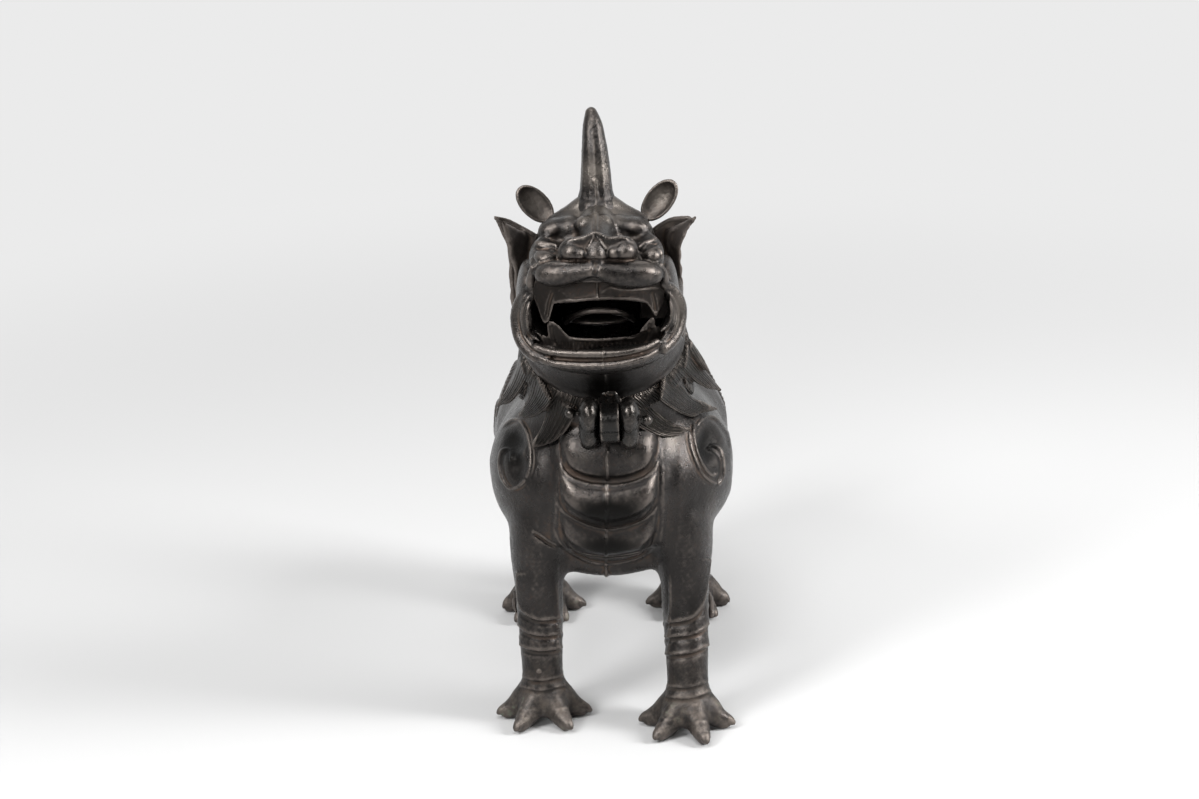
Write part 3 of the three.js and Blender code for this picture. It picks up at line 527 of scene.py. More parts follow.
def bronze(name, dark=(45, 43, 42), dust=(104, 92, 81), gloss=0.31, dusty=0.3, green=0.0, grain=1.0,
           combed=False, metal=0.92):
    """Old bronze: dark, paler where worn, dust in hollows, some green low down, and painted shade and
    highlights.
    """
    finish = Finish(bpy.data.materials.new(name))
    place = finish.node("ShaderNodeTexCoord", {}, {}, "Object")
    height = finish.node("ShaderNodeSeparateXYZ", {}, {0: place}, "Z")
    relief, painted_light_and_wear = finish.value("relief"), finish.value("painted_light_and_wear")
    cloud = finish.noise(place, 48, 5, 0.6)
    mottle = finish.noise(place, 210, 6, 0.65)
    crust = finish.noise(place, 620, 5, 0.65)
    fleck = finish.noise(place, 1700, 3, 0.7)

    foot = 1.0 - height.rise(0.012, 0.05)
    ridge = relief.rise(0.06, 0.5) * (0.3 + 0.7 * mottle.rise(0.3, 0.65))
    hollow = (0.0 - relief).rise(0.05, 0.6)
    speck = cloud.rise(0.5, 0.75) * mottle.rise(0.46, 0.66)
    rust = cloud.rise(0.4, 0.62) * (hollow * 0.5 + crust.rise(0.5, 0.7) * 0.3)
    old_dust = (hollow * (0.15 + cloud * 0.7) * dusty + speck * (0.3 * dusty)
                + foot * mottle.rise(0.35, 0.7) * 0.3)
    verdigris = mottle.rise(0.55, 0.7) * cloud.rise(0.48, 0.66) * foot * green
    # Below 0, painted highlights and wear mix towards a pale grey; above 0, painted shade mixes towards near
    # black.
    wear_and_painted_highlight = (0.0 - painted_light_and_wear).rise(0, 1) * (0.55 + 0.45 * mottle)
    painted_shade = painted_light_and_wear.rise(0, 1)

    base = finish.mix(cloud.rise(0.3, 0.7), rgb(*dark), rgb(*(c * 1.25 for c in dark)))
    base = finish.mix(rust, base, RUST)
    base = finish.mix(ridge * 0.65, base, rgb(118, 110, 104))
    base = finish.mix(old_dust, base, rgb(*dust))
    base = finish.mix(verdigris, base, VERDIGRIS)
    base = finish.mix(wear_and_painted_highlight, base, WEAR_AND_HIGHLIGHT_GREY)
    base = finish.mix(painted_shade, base, PAINTED_SHADE_DARK)

    def bump(strength, distance, pattern, under):
        """Small relief on top of other relief."""
        sockets = {"Strength": strength, "Distance": distance, "Height": pattern}
        return finish.node("ShaderNodeBump", {}, {**sockets, "Normal": under} if under else sockets)

    skin = bump(0.15 * grain, 0.0006, mottle, None)
    if combed:
        hair = finish.node("ShaderNodeMath", {"operation": "SINE"}, {0: finish.value("comb") + mottle * 1.5})
        skin = bump(0.9, 0.0005, hair * 0.5, skin)
    skin = bump(0.3 * grain, 0.00028, crust, skin)
    skin = bump(0.7 * grain, 0.0002, fleck, skin)
    shader = finish.node("ShaderNodeBsdfPrincipled", {}, {
        "Base Color": base,
        "Metallic": metal - old_dust * 0.8 - verdigris * 0.5,
        "Roughness": (gloss + (mottle - 0.5) * 0.34 + (crust - 0.5) * 0.25 + old_dust * 0.4 + hollow * 0.1
                      + painted_shade * 0.08 + foot * 0.1),
        "Normal": skin,
    })
    finish.node("ShaderNodeOutputMaterial", {}, {"Surface": shader})
    return finish.owner


BRONZE = {
    "body": bronze("body_bronze_skin", green=0.6),
    "legs": bronze("leg_bronze_skin", green=0.6),
    "head": bronze("head_bronze_skin", gloss=0.30),
    "teeth": bronze("tooth_bronze_skin", dark=(37, 34, 32), gloss=0.4, dusty=0.4),
    # The mane's bronze is darker than the body's: painted shade between its locks, on the tail too
    "mane": bronze("mane_bronze_painted_shade", dark=(36, 34, 32), gloss=0.37, dusty=0.35, combed=True),
    # The hood's bronze is paler and less metallic than the rest: painted light on its sheets, which the lamps
    # barely reach
    "hood": bronze("hood_bronze_painted_light", dark=(62, 57, 54), dust=(118, 104, 90), gloss=0.46, dusty=0.7,
                   metal=0.7),
    "hinge": bronze("hinge_bronze_skin", dark=(42, 41, 40), gloss=0.26, grain=0.5),
    "ear": bronze("ear_bronze_skin", dark=(64, 60, 57), dust=(142, 131, 120), gloss=0.42, dusty=0.9),
    "pan": bronze("pan_bronze_skin", dark=(84, 70, 56), gloss=0.5),
}
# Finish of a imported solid, by the first word of its name. The others have the head's
SOLID_FINISH = {"body": "body", "front": "legs", "rear": "legs", "mane": "mane", "tail": "mane",
                "hinge": "hinge", "ash": "pan"}


def place_piece(mesh, name, finish, rides, *stands_for):
    """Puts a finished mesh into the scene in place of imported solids."""
    mesh.shade_smooth()
    mesh.set_sharp_from_angle(angle=math.radians(55))
    mesh.materials.clear()
    mesh.materials.append(BRONZE[finish])
    mesh.name = name
    piece = shown(mesh, name)
    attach(piece, rides)
    if stands_for:
        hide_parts(*stands_for)


def thin_piece(form, grain, rounds, name, finish, rides, stands_for, details=None):
    """Finishes a small piece: one even skin, its details and its relief."""
    casting = Casting(outer_skin(one_skin(mesh_of(form), grain * (1), rounds)))
    if details:
        details(casting)
    place_piece(thinned(casting.done(), MOST_TRIANGLES["small"]), name, finish, rides, stands_for)


# Body and legs, cast as one form and then parted at the leg roots

FEET = {"front_left": (34.7, -64.5), "front_right": (-34.7, -49.3),
        "rear_left": (38.7, 74.7), "rear_right": (-38.7, 74.7)}
FRONT_ROOT = -49.3

# Toes: degrees from straight ahead, and reach. The front left paw is turned
TOES = ((-84, 18.6), (-32, 20.8), (32, 20.8), (84, 18.6))
TURNED_TOES = ((-94, 19.4), (-42, 20.8), (18, 21.4), (78, 18.0))
# A nail and two knuckles: distance past the toe's reach, height, half sizes, tilt and fineness
TOE_BUMPS = (
    (1.2, 5.4, (2.6, 4.3, 1.7), 32, 16),
    (-4.6, 9.0, (3.8, 2.6, 2.6), 0, 14),
    (-10, 13.6, (4.2, 2.4, 2.4), 0, 14),
)
ELBOW_TUFT = ((-1.6, 2, 67), (0.2, 4, 61), (0.9, 5, 55), (0.7, 4.4, 51))

# Fuller flanks under a slimmer shoulder, and slimmer haunches: heights, then how far the side moves
FLANK_LEFT = ([64, 74, 84, 112, 124, 134, 143, 152, 160, 172],
              [0, 2.5, 5.2, 5.8, 5.8, 3.8, 2.0, 0, -2.0, 0])
FLANK_RIGHT = ([64, 74, 84, 112, 124, 134, 143, 152, 162, 174],
               [0, 1.4, 2.6, 1.9, 1.9, 0.4, -1.2, -2.6, -2.8, 0])
HAUNCH = ([100, 118, 130, 145, 160, 175], [0, 2.2, 3.4, 3.4, 2.4, 0])


def toes_of(name):
    """The toes of a paw: the way each points on the floor, its turn in degrees and its reach."""
    for degrees, reach in TURNED_TOES if name == "front_left" else TOES:
        turn = math.radians(degrees)
        yield Vector((math.sin(turn), -math.cos(turn), 0)), degrees, reach


def leg_form(form, name):
    """Adds a leg from the trunk down to its ankle, and its flared paw with four toes."""
    x, y = FEET[name]
    if name.startswith("front"):
        step = FRONT_ROOT - y
        line = [(x * 0.92, FRONT_ROOT, 108), (x * 0.96, FRONT_ROOT - 0.1 * step, 92),
                (x * 0.985, FRONT_ROOT - 0.2 * step, 76), (x, FRONT_ROOT - 0.5 * step, 50),
                (x, FRONT_ROOT - 0.8 * step, 30), (x, y, 15)]
        widths, depths = [13, 13.4, 12.4, 11.0, 10.3, 9.8], [19, 18, 15, 12.2, 11, 10.4]
    else:
        line = [(x * 0.92, 64, 112), (x * 0.96, 64, 92), (x, 70, 70), (x, 82, 47), (x, 82, 32),
                (x, y + 1, 15)]
        widths, depths = [15, 16, 14, 11, 9.8, 9.6], [22, 21, 17, 12, 10.6, 10.2]
    count = 44
    for place, width, depth in zip(flow(line, count), along(widths, count), along(depths, count)):
        lump(form, place, (width, depth, 7), fine=16)
    foot = Vector((x, y, 0))
    tube(form, foot + Vector((0, 0, 5)), (0, 0, 1), 15, 17, 9.6, 24)
    for way, _, reach in toes_of(name):
        joints = ((3, 16), (10, 10), (reach - 5, 6.2), (reach, 4.4))
        places = [foot + way * far + Vector((0, 0, high)) for far, high in joints]
        roll(form, places, [7.4, 6.4, 5.1, 3.9], 16)


def trunk_and_legs():
    """The trunk, legs and paws as one skin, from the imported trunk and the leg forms."""
    form = bmesh.new()
    for name in FEET:
        leg_form(form, name)
    tube(form, NECK - NECK_OUT * 12, NECK_OUT, NECK_RADIUS - 1.5, 12)
    solid_copy(form, "body_shell")
    bmesh.ops.bisect_plane(form, geom=form.verts[:] + form.edges[:] + form.faces[:],
                           plane_co=(0, 0, 0.4 * MM), plane_no=(0, 0, -1), clear_outer=True)
    bmesh.ops.holes_fill(form, edges=form.edges[:], sides=0)
    trunk = Casting(outer_skin(one_skin(mesh_of(form), 1.5, 14)))
    x, y, z = trunk.place.T
    chest = falling(y, -42, 8) * falling(np.abs(x), 38, 8) * rising(z, 62, 8) * falling(z, 158, 8)
    trunk.soften(chest, 45)
    shoulder = rising(np.abs(x), 24, 6) * rising(z, 74, 8) * falling(z, 140, 8)
    trunk.soften(shoulder, 24)
    trunk.place[:, 0] *= 1 + 0.026 * rising(z, 72, 30)
    fuller = np.where(x > 0, np.interp(z, *FLANK_LEFT), -np.interp(z, *FLANK_RIGHT))
    fuller = fuller * falling(y, 62, 34) * rising(y, -60, 35)
    slimmer = np.sign(x) * np.interp(z, *HAUNCH) * rising(y, 30, 25)
    trunk.place[:, 0] += (fuller - slimmer) * rising(np.abs(x), 20, 24)
    trunk.settle()
    form = bmesh.new()
    for side, x, y in ((1, 34.7, -54), (-1, -34.7, -43)):
        elbow = Vector((side * 11.2 + x, y, 0))
        tuft = [elbow + Vector((side * out, back, high)) for out, back, high in ELBOW_TUFT]
        roll(form, tuft, [0.5, 1.3, 1.8, 1.1], 24)
    for name, (x, y) in FEET.items():
        foot = Vector((x, y, 0))
        for way, degrees, reach in toes_of(name):
            for past, high, half, tilt, fine in TOE_BUMPS:
                lump(form, foot + way * (reach + past) + Vector((0, 0, high)), half, (tilt, 0, degrees), fine)
    take_in(form, trunk.mesh)
    return one_skin(mesh_of(form), 0.6, 3)


# Lower edges of the belly plates, in pixels
BELLY_PLATES = (
    [(561, 447), (561.5, 458), (564, 467), (571, 475), (581, 480.3), (593, 483.2), (606, 484), (619, 483.6),
     (632, 481), (644, 476), (653, 467.5), (657, 456), (657.5, 446)],
    [(558.5, 497), (563.3, 507.7), (570, 513.5), (579.6, 519.2), (590.1, 523.8), (601.6, 527),
     (609.2, 527.8), (620.7, 526.2), (632.2, 523), (641.7, 518.5), (651.3, 510.5), (657, 500)],
    [(556.5, 528), (562.3, 541), (570, 548.8), (579.6, 554.6), (591, 559.4), (601.6, 561.3), (613, 561.3),
     (624.5, 559.4), (638.9, 555.5), (650, 547), (656, 535)],
)
PLATES_TOP, PLATES_BOTTOM = 424.0, 590.0
PLATE_SIDES = (
    [(561, 436), (559, 470), (558, 500), (556, 530), (559, 552), (568, 564)],
    [(660, 436), (661.5, 470), (662, 500), (661, 530), (657, 552), (650, 563)],
)
CHEST_SEAM = [(607.5, 447), (606.6, 462), (607.6, 475), (606.2, 490), (607, 505), (606, 520), (606.8, 535),
              (605.8, 550), (606.5, 574)]
# Scrolls of the shoulders: line in pixels, width in pixels and height
SHOULDER_SCROLLS = (
    ([(495, 436), (499, 429), (505, 423.8), (512.8, 419.9), (519.8, 421), (524.7, 427.3), (527.5, 434.3),
      (528.9, 440.6), (530.3, 448.3), (530.9, 457), (530, 468), (526, 479)], 2.4, 0.75),
    ([(511, 463), (511, 455), (508, 449.7), (504.3, 449), (500.8, 453.2), (499.4, 460.9), (499.8, 468.7),
      (502.2, 477.8), (507.2, 485.5), (513, 488.5), (520, 485.5), (526, 479)], 2.4, 0.85),
    ([(697, 425), (703, 419), (710.7, 416.7), (717.2, 418.9), (724.8, 427.6), (730.2, 437.3),
      (732, 449)], 2.4, 0.75),
    ([(694, 423), (693.6, 431), (694.5, 441.7), (697.7, 452.5), (702, 463.4), (707.5, 472), (712.9, 475.3),
      (718, 472)], 2.3, 0.85),
    ([(689.5, 430), (691, 443), (694, 454), (698.5, 465), (704, 475), (712, 482), (719, 483)], 2.3, 0.7),
    ([(715, 450.5), (712.9, 447.6), (715, 444.4), (719.4, 447.1), (722.1, 454.7), (723.7, 465.5),
      (722.6, 476.4), (718, 486)], 2.2, 0.95),
)
SHOULDER_HOLLOWS = (((514, 441), (14.5, 20), -3.2), ((518, 466), (11, 17), -1.8),
                    ((709, 445), (14, 24), -3.4))
# Painted shade above 0 and painted highlights below 0: middle and half sizes in pixels, and amount
BODY_PAINTED_LIGHT = (((512, 445), (19, 28), 1.3), ((514, 474), (14, 22), 0.6), ((709, 445), (18, 32), 1.3),
               ((608, 478), (50, 14), 0.6), ((608, 514), (60, 25), 1.2), ((608, 548), (58, 21), 1.0),
               ((580, 458), (18, 15), -0.3), ((632, 456), (16, 14), -0.3), ((672, 440), (14, 26), -0.35),
               ((552, 470), (12, 34), 0.3), ((500, 520), (18, 50), -0.15), ((714, 520), (14, 60), -0.25))
HAUNCH_SCROLL = ((60, 42, 122), (61, 50, 135), (60, 64, 141), (59, 78, 134), (58, 84, 118), (57, 76, 104),
                 (58, 64, 102), (60, 57, 110), (60, 60, 119), (60, 66, 120))


def belly_details(body, chest):
    """Belly plates that bulge over their lower lips, and the seam of the mould down the chest."""
    across, down = body.pixel.T
    edges = [np.interp(across, *np.array(line).T) for line in BELLY_PLATES]
    edges = [np.full(len(across), PLATES_TOP)] + edges + [np.full(len(across), PLATES_BOTTOM)]
    inset = rising(across, 560, 16) * falling(across, 658, 16)
    inset = inset * (2 - inset) * chest * body.seen
    for top, bottom, fat in zip(edges, edges[1:], (4.0, 4.2, 3.4, 1.0)):
        share = np.clip((down - top) / (bottom - top), 0, 1)
        body.push(fat * inset * (1 - np.abs(2 * share - 1) ** 2.4) * ((down > top) & (down < bottom)))
    body.soften((inset > 0.02).astype(float), 3)
    for line, lip in zip(BELLY_PLATES, (1.0, 1.1, 0.9)):
        body.stroke(moved(line, 0, -3.5), 5.5, -0.8 * lip, chest, 0.1)
        body.stroke(moved(line, 0, 1.2), 4.4, 0.9 * lip, chest, 0.1)
    for line in PLATE_SIDES:
        body.stroke(line, 7, 0.5, chest, 0.25)
        body.stroke(moved(line, 10, 0, CHEST_MIDDLE), 10, -0.6, chest, 0.25)
    body.stroke(CHEST_SEAM, 2.2, 0.7, chest, 0.03)
    for _, y in CHEST_SEAM[1:]:
        body.swell((606.6, y + 4), 3.0, 0.4, chest)
    body.swell((606.5, 573.5), 4.2, 1.6, chest)


def body_details(body):
    """Belly plates, shoulder scrolls, beads along the spine and scrolls on the haunches."""
    front = (body.place[:, 1] < 0).astype(float)
    belly_details(body, front * (body.place[:, 2] > 62))
    side_front = front * (np.abs(body.place[:, 0]) > 24)
    for centre, radius, rise in SHOULDER_HOLLOWS:
        body.swell(centre, radius, rise, side_front)
    for line, width, rise in SHOULDER_SCROLLS:
        body.stroke(line, width, rise, side_front, 0.05)
        body.stroke(moved(line, -3.4, 1, CHEST_MIDDLE), 2.6, -0.35, side_front)
    body.stroke([(533, 533), (540, 538), (548, 544), (557, 548)], 2.4, -0.9, side_front)
    body.stroke([(531, 530), (539, 534.5), (548, 541), (557, 545)], 2.2, 0.5, side_front)
    # Painted shade in the shoulder scrolls and on the belly plates, painted highlights on the upper plate,
    # the right shoulder and the sides
    for centre, radius, amount in BODY_PAINTED_LIGHT:
        body.mark_light_and_wear(centre, radius, amount)
    x, y, z = body.place.T
    spine = bell(x, 3.0) * rising(y, -5, 18) * (z > 110)
    body.push(1.1 * spine * (0.6 + 0.4 * np.cos(y * 2 * math.pi / 7.5)))
    for side in (1, -1):
        distance = np.full(len(x), np.inf)
        for spot in flow([(side * out, back, high) for out, back, high in HAUNCH_SCROLL], 60):
            distance = np.minimum(distance, np.linalg.norm(body.place[:, 1:] - spot[1:], axis=1))
        scroll = 0.9 * dome(distance / 2.2) - 0.5 * bell(distance - 3.4, 1.2)
        body.push(scroll * (np.abs(x) > 30) * (np.sign(x) == side))


# Front legs in the photograph: folds, each a line of pixels and a height, then the line down the shin
LEG_LINES = (
    ((([(517.5, 570), (518, 590), (519.5, 602), (523, 610), (530, 616), (541, 619.5), (562, 617)], 0.9),
      ([(512, 612), (517, 622), (524, 629), (533, 633.5), (547, 635), (563, 632)], 1.0),
      ([(514, 637), (521, 644.5), (530, 648.5), (545, 650), (563, 647)], 1.0),
      ([(517, 672), (529, 678.5), (545.5, 679.5), (564, 675)], 0.55),
      ([(519, 686), (540, 690), (566, 685)], 0.4)),
     [(556, 580), (557.5, 600), (557, 640), (556, 655)]),
    ((([(665, 622), (682.4, 620.5), (694, 615.5), (702, 604), (706.5, 585), (710, 556)], 0.9),
      ([(664, 637), (682.4, 635.5), (697, 632), (708, 623.5), (716, 612)], 1.0),
      ([(664, 654), (682.4, 653.5), (697, 650), (716, 641)], 1.0),
      ([(666, 685), (682.4, 687), (697, 684.5), (712, 679)], 0.55),
      ([(665, 696), (682.4, 698), (697, 696), (712, 690)], 0.5)),
     [(670, 572), (671, 600), (670, 640), (669, 658)]),
)
# Rings where the photograph hides a leg: its middle, then their heights and how far they stand out
RING_MIDDLES = ((34.7, -57), (-34.7, -49.3), (38.7, 80), (-38.7, 80))
RINGS = ((57, 0.6), (49, 0.6), (41, 0.6), (21, 0.4))


def leg_details(legs):
    """Folds of the hair above the shins, and rings at the ankles."""
    low = ((legs.place[:, 2] < 96) & (legs.place[:, 1] < 0)).astype(float)

    def fold(line, lip, reach=13):
        """A sheet of hair that ends at a line and stands proud above it."""
        chosen, distance, side, way = legs.near(line, reach, legs.pixel)
        above = np.where(side < 0, 1 - distance / reach, (1 - distance / 2.2).clip(0, 1))
        under = -0.5 * bell(distance - 4, 2.2) * (side > 0)
        amount = 1.25 * lip * (above ** 1.5 + under) * np.clip(np.minimum(way, 1 - way) / 0.04, 0, 1)
        amount *= np.clip(legs.facing[chosen] * 4, 0, 1) * low[chosen]
        legs.place[chosen] += legs.out[chosen] * amount[:, None]

    for folds, shin in LEG_LINES:
        for line, lip in folds:
            fold(line, lip)
        legs.stroke(shin, 3, 0.5, low)
    legs.swell((539, 671), 3.2, 0.9, low)
    for x, y in RING_MIDDLES:
        around = np.hypot(legs.place[:, 0] - x, legs.place[:, 1] - y) < 20
        unseen = np.clip((0.02 - legs.facing) * 8, 0, 1) if y < 0 else 1.0
        tilt = (legs.place[:, 1] - y) * 0.3
        for height, lip in RINGS:
            off = legs.place[:, 2] - height - tilt
            legs.push((lip * bell(off, 1.2) - 0.7 * lip * bell(off + 2.2, 1.5)) * around * unseen)


def leg_envelope(name):
    """A plain rounded form that parts a leg from the body."""
    x, y = FEET[name]
    form = bmesh.new()
    if name.startswith("front"):
        lump(form, (x, -54, 20), (27, 38, 72), fine=56)
    else:
        lump(form, (x, 74, 14), (29, 38, 70), fine=56)
    lump(form, (x, y, 4), (31, 31, 20), fine=40)
    return one_skin(mesh_of(form), 1.6, 4)


def hollow_of_body():
    """The hollow that holds the ash, open at the neck."""
    form = bmesh.new()
    lump(form, (0, 12, 121), (49, 85, 38), fine=40)
    lump(form, (0, -22, 121), (46, 45, 38), fine=40)
    lump(form, (0, 52, 117), (53, 44, 37), fine=40)
    tube(form, NECK - NECK_OUT * 50, NECK_OUT, NECK_RADIUS - WALL, 70)
    return one_skin(mesh_of(form), 1.8, 6)


def make_body():
    """The trunk, the four legs parted from it, and the mane that lies on it."""
    widest, sole_height = 58, 0.12
    casting = Casting(trunk_and_legs())
    body_details(casting)
    casting.settle()
    leg_details(casting)
    x, _, z = casting.place.T
    casting.place[:, 0] -= np.sign(x) * np.clip(np.abs(x) - widest, 0, None) * 0.5
    casting.place[:, 2] -= 1.15 * falling(z, 6, 4.5)
    casting.place[:, 2] = z.clip(sole_height)
    whole = casting.done()
    make_mane(casting)
    for name in FEET:
        envelope = leg_envelope(name)
        leg = cut(whole.copy(), envelope, "INTERSECT")
        place_piece(thinned(leg, MOST_TRIANGLES["leg"]), name + "_leg_cast", "legs", "vessel", name + "_leg")
        whole = cut(whole, envelope)
    whole = cut(whole, hollow_of_body())
    place_piece(thinned(whole, MOST_TRIANGLES["body"]), "body_cast", "body", "vessel", "body_shell")


# Mane collar: pointed locks of combed hair that lie on the shoulders

MANE_LOCKS = (
    # line of the hair in pixels from root to tip, half widths, and lift of the tip
    ([(566, 400), (559, 418), (549, 436), (534, 452.5)], [8, 7.2, 4.4, 0.6], 3.2),
    ([(526, 366), (520, 381), (511, 396), (499.5, 408)], [5, 5, 3.6, 0.6], 1.2),
    ([(545, 388), (540, 399), (532, 409), (522, 416)], [7, 6.4, 4, 0.8], 1.0),
    ([(638, 410), (651, 421), (667, 430), (687, 432)], [6.4, 5.4, 3.6, 0.6], 3.0),
    ([(662, 384), (675, 397), (691, 408), (711, 414.5)], [8.4, 7.2, 4.4, 0.7], 3.0),
    ([(682, 356), (693, 370), (705, 381.5), (717.5, 392.5)], [6.4, 5.6, 3.8, 0.7], 1.2),
    ([(688, 345), (694, 354), (700, 363), (705.5, 371.5)], [3.6, 3.2, 2.2, 0.6], 1.0),
)
# The low sheet of hair: its least depth below the rim, and the start and spacing of its ends in degrees
SHEET_DEPTH, ENDS_FROM, ENDS_APART = 9.5, 40, 26


def round_neck(points):
    """The turn of points round the neck in degrees from the front, and how far they lie from its rim."""
    from_neck = points - np.array(NECK)
    rise = from_neck @ np.array(NECK_OUT)
    radial = from_neck - rise[:, None] * np.array(NECK_OUT)
    radius = np.linalg.norm(radial, axis=1)
    front_way = np.array((0, -math.cos(NECK_SLOPE), -math.sin(NECK_SLOPE)))
    turn = np.degrees(np.arctan2(radial[:, 0], radial @ front_way))
    away = np.hypot(radius - NECK_RADIUS, rise.clip(None, 0))
    on_collar = (rise < 1.5) & (radius > NECK_RADIUS - 2.5) & (points[:, 1] < 45)
    return turn, away, on_collar


def sheet_reach(turn, away):
    """How far inside the low sheet of hair points lie. It has pointed ends at the sides and the back."""
    lock = (np.abs(turn) - ENDS_FROM) / ENDS_APART
    part = np.abs(lock - np.floor(lock) - 0.5) * 2
    ends = np.where(np.abs(turn) > ENDS_FROM + ENDS_APART, 31 - 18 * part ** 1.6, SHEET_DEPTH)
    return np.maximum(ends, SHEET_DEPTH) - away


def mane_sheet(body):
    """A thin sheet of hair, lifted off the body round the neck."""
    turn, away, on_collar = round_neck(body.place)
    form = bmesh.new()
    form.from_mesh(body.mesh)
    drop_points(form, ~on_collar | (sheet_reach(turn, away) < -2))
    sheet = Casting(mesh_of(form))
    turn, away, _ = round_neck(sheet.place)
    inner = sheet_reach(turn, away)
    flare = np.where(np.abs(turn) > ENDS_FROM + ENDS_APART, np.clip(away - 6, 0, 26) * 0.04, 0)
    lift = np.clip(inner * 1.6, -0.8, 1.0) + flare * (inner > 0)
    for _ in range(2):
        lift = sheet.mean(lift[:, None])[:, 0]
    sheet.push(lift)
    sheet.settle()
    thing = shown(sheet.mesh)
    thick = thing.modifiers.new("thick", "SOLIDIFY")
    thick.thickness = 1.8 * MM
    thick.offset = -1
    thick.use_even_offset = False
    return settled(thing)


def laid_lock(body, front, path, tip):
    """The places of a lock that lies on the body where the photograph shows it, and the way it faces."""
    count, fewest_sure = 9, 5
    spots, shares = flow(path, count), np.linspace(0, 1, count)
    gaps = [np.linalg.norm(body.pixel[front] - spot, axis=1) for spot in spots]
    under = front[[gap.argmin() for gap in gaps]]
    off = np.array([gap.min() for gap in gaps])
    sure = off <= max(3, np.sort(off)[fewest_sure - 1])
    depths = np.polyval(np.polyfit(shares[sure], body.place[under[sure], 1], 1), shares)
    places = np.array([sight(*spot, depth) for spot, depth in zip(spots, depths)])
    for i, place in enumerate(places):
        nearest = front[np.linalg.norm(body.place[front] - place, axis=1).argmin()]
        sunk = (body.place[nearest] - place) @ body.out[nearest]
        places[i] = place + body.out[nearest] * (max(sunk, 0) + 0.5 + tip * shares[i] ** 1.5)
    return places, Vector(body.out[under[sure]].mean(0))


def make_mane(body):
    """A sheet of hair round the neck, with pointed locks over it, all combed."""
    form = bmesh.new()
    take_in(form, mane_sheet(body))
    front = np.flatnonzero((body.facing > 0.12) & (body.place[:, 1] < 5) & (body.place[:, 2] > 120))
    for path, widths, tip in MANE_LOCKS:
        places, facing = laid_lock(body, front, path, tip)
        blade(form, places, widths, [1.5, 1.6, 1.5, 0.8], facing, 60)
    mane = Casting(outer_skin(one_skin(mesh_of(form), 0.5, 2)))
    turn, _, _ = round_neck(mane.place)
    comb = turn * 2 * math.pi / 2.1
    for path, widths, _ in MANE_LOCKS:
        chosen, distance, side, way = mane.near(path, 26, mane.pixel)
        on_lock = (distance < along(widths, 101)[(way * 100).astype(int)] * 2.3) & (mane.facing[chosen] > 0)
        comb[chosen[on_lock]] = (side / (0.45 + 0.55 * (1 - way)) * 2 * math.pi / 2.6)[on_lock]
    mane.push(0.05 * np.sin(comb / 2))
    mane.write("comb", comb)
    place_piece(thinned(mane.done(), MOST_TRIANGLES["mane"]), "mane_cast", "mane", "vessel", "mane_collar")


# Head

def skull_form():
    """The skull, muzzle, jaw and brows before they are hollowed."""
    form = bmesh.new()
    # Throat and its rim, crown, muzzle and jaw
    tube(form, NECK + NECK_OUT * 0.3, NECK_OUT, NECK_RADIUS - 1.0, 36)
    tube(form, NECK + NECK_OUT * 0.3, NECK_OUT, NECK_RADIUS, 4.2)
    lump(form, on_head(-2.4, 9, 37), (26.5, 30, 26), fine=40)
    lump(form, on_head(-1.0, 42, 48), (27, 24, 13), fine=40)
    lump(form, on_head(-1.2, 36, 12), (33, 28, 13), fine=40)
    # Cheeks, upper cheeks and sides of the mouth
    for side in (1, -1):
        lump(form, on_head(-1.6 + side * 21, 30, 27), (13.5, 24, 19), fine=32)
        lump(form, on_head(-1.4 + side * 22, 40, 53), (8, 13, 9))
        lump(form, (side * 31 - 1.6, -73, 218), (5.6, 23, 19), fine=32)
    # Forehead with its two bumps
    lump(form, (-2.2, -64, 243), (23, 17, 12.5), fine=32)
    lump(form, (-2.0, -68.5, 246.6), (26, 13.5, 7.8), fine=40)
    for px, py in ((569, 227.5), (617.5, 226.5)):
        lump(form, sight(px, py, -72.5), (6.4, 7, 5.4))
    # Brows, eyelids and the bridge of the nose
    for brow in (Vector((-19, -70, 247.5)), Vector((15, -70, 247.5))):
        middle = Vector((brow.x * 0.55 - 0.8, -62, 249))
        roll(form, [(-0.8, -56, 251.5), middle, brow], [9.4, 8.4, 7], 20)
        lump(form, (brow.x * 0.95, -60, 241), (11, 16, 12))
    roll(form, [sight(590, 208, -56), sight(571, 214.5, -60), sight(553, 222.5, -65)], [7.5, 4.6, 3.4], 24)
    roll(form, [sight(603, 207.5, -56), sight(622, 213, -60), sight(641, 220, -65)], [7.5, 4.6, 3.4], 24)
    lump(form, sight(552.5, 228, -73), (6.8, 6.5, 4.2), (0, -14, 0), 28)
    lump(form, sight(634.5, 226, -73), (7.6, 6.5, 4.2), (0, 10, 0), 28)
    lump(form, sight(585, 225, -79.5), (4.6, 5, 4.4))
    lump(form, sight(604, 224, -79.5), (4.2, 5, 4.4))
    roll(form, [(-0.8, -57, 251), (-0.8, -76, 250), (-0.5, -94, 249)], [9.5, 9.0, 7.5], 22)
    return one_skin(mesh_of(form), 0.8, 11)


def skull_hollow():
    """The open mouth and the hollow of the head, open at the neck."""
    form = bmesh.new()
    mouth = Matrix.Translation(on_head(0, 58, 32) * MM) @ Matrix.Diagonal((61 * MM, 68 * MM, 33 * MM, 1))
    bmesh.ops.create_cube(form, size=1, matrix=mouth)
    deep = [edge for edge in form.edges if abs((edge.verts[0].co - edge.verts[1].co).y) > 60 * MM]
    bmesh.ops.bevel(form, geom=deep, offset=13 * MM, affect="EDGES", segments=6, profile=0.5, material=-1)
    tube(form, NECK - NECK_OUT * 8, NECK_OUT, NECK_RADIUS - WALL - 1.2, 42)
    lump(form, on_head(-2.4, 9, 36), (23, 26.5, 22), fine=40)
    return one_skin(mesh_of(form), 1.0, 3)


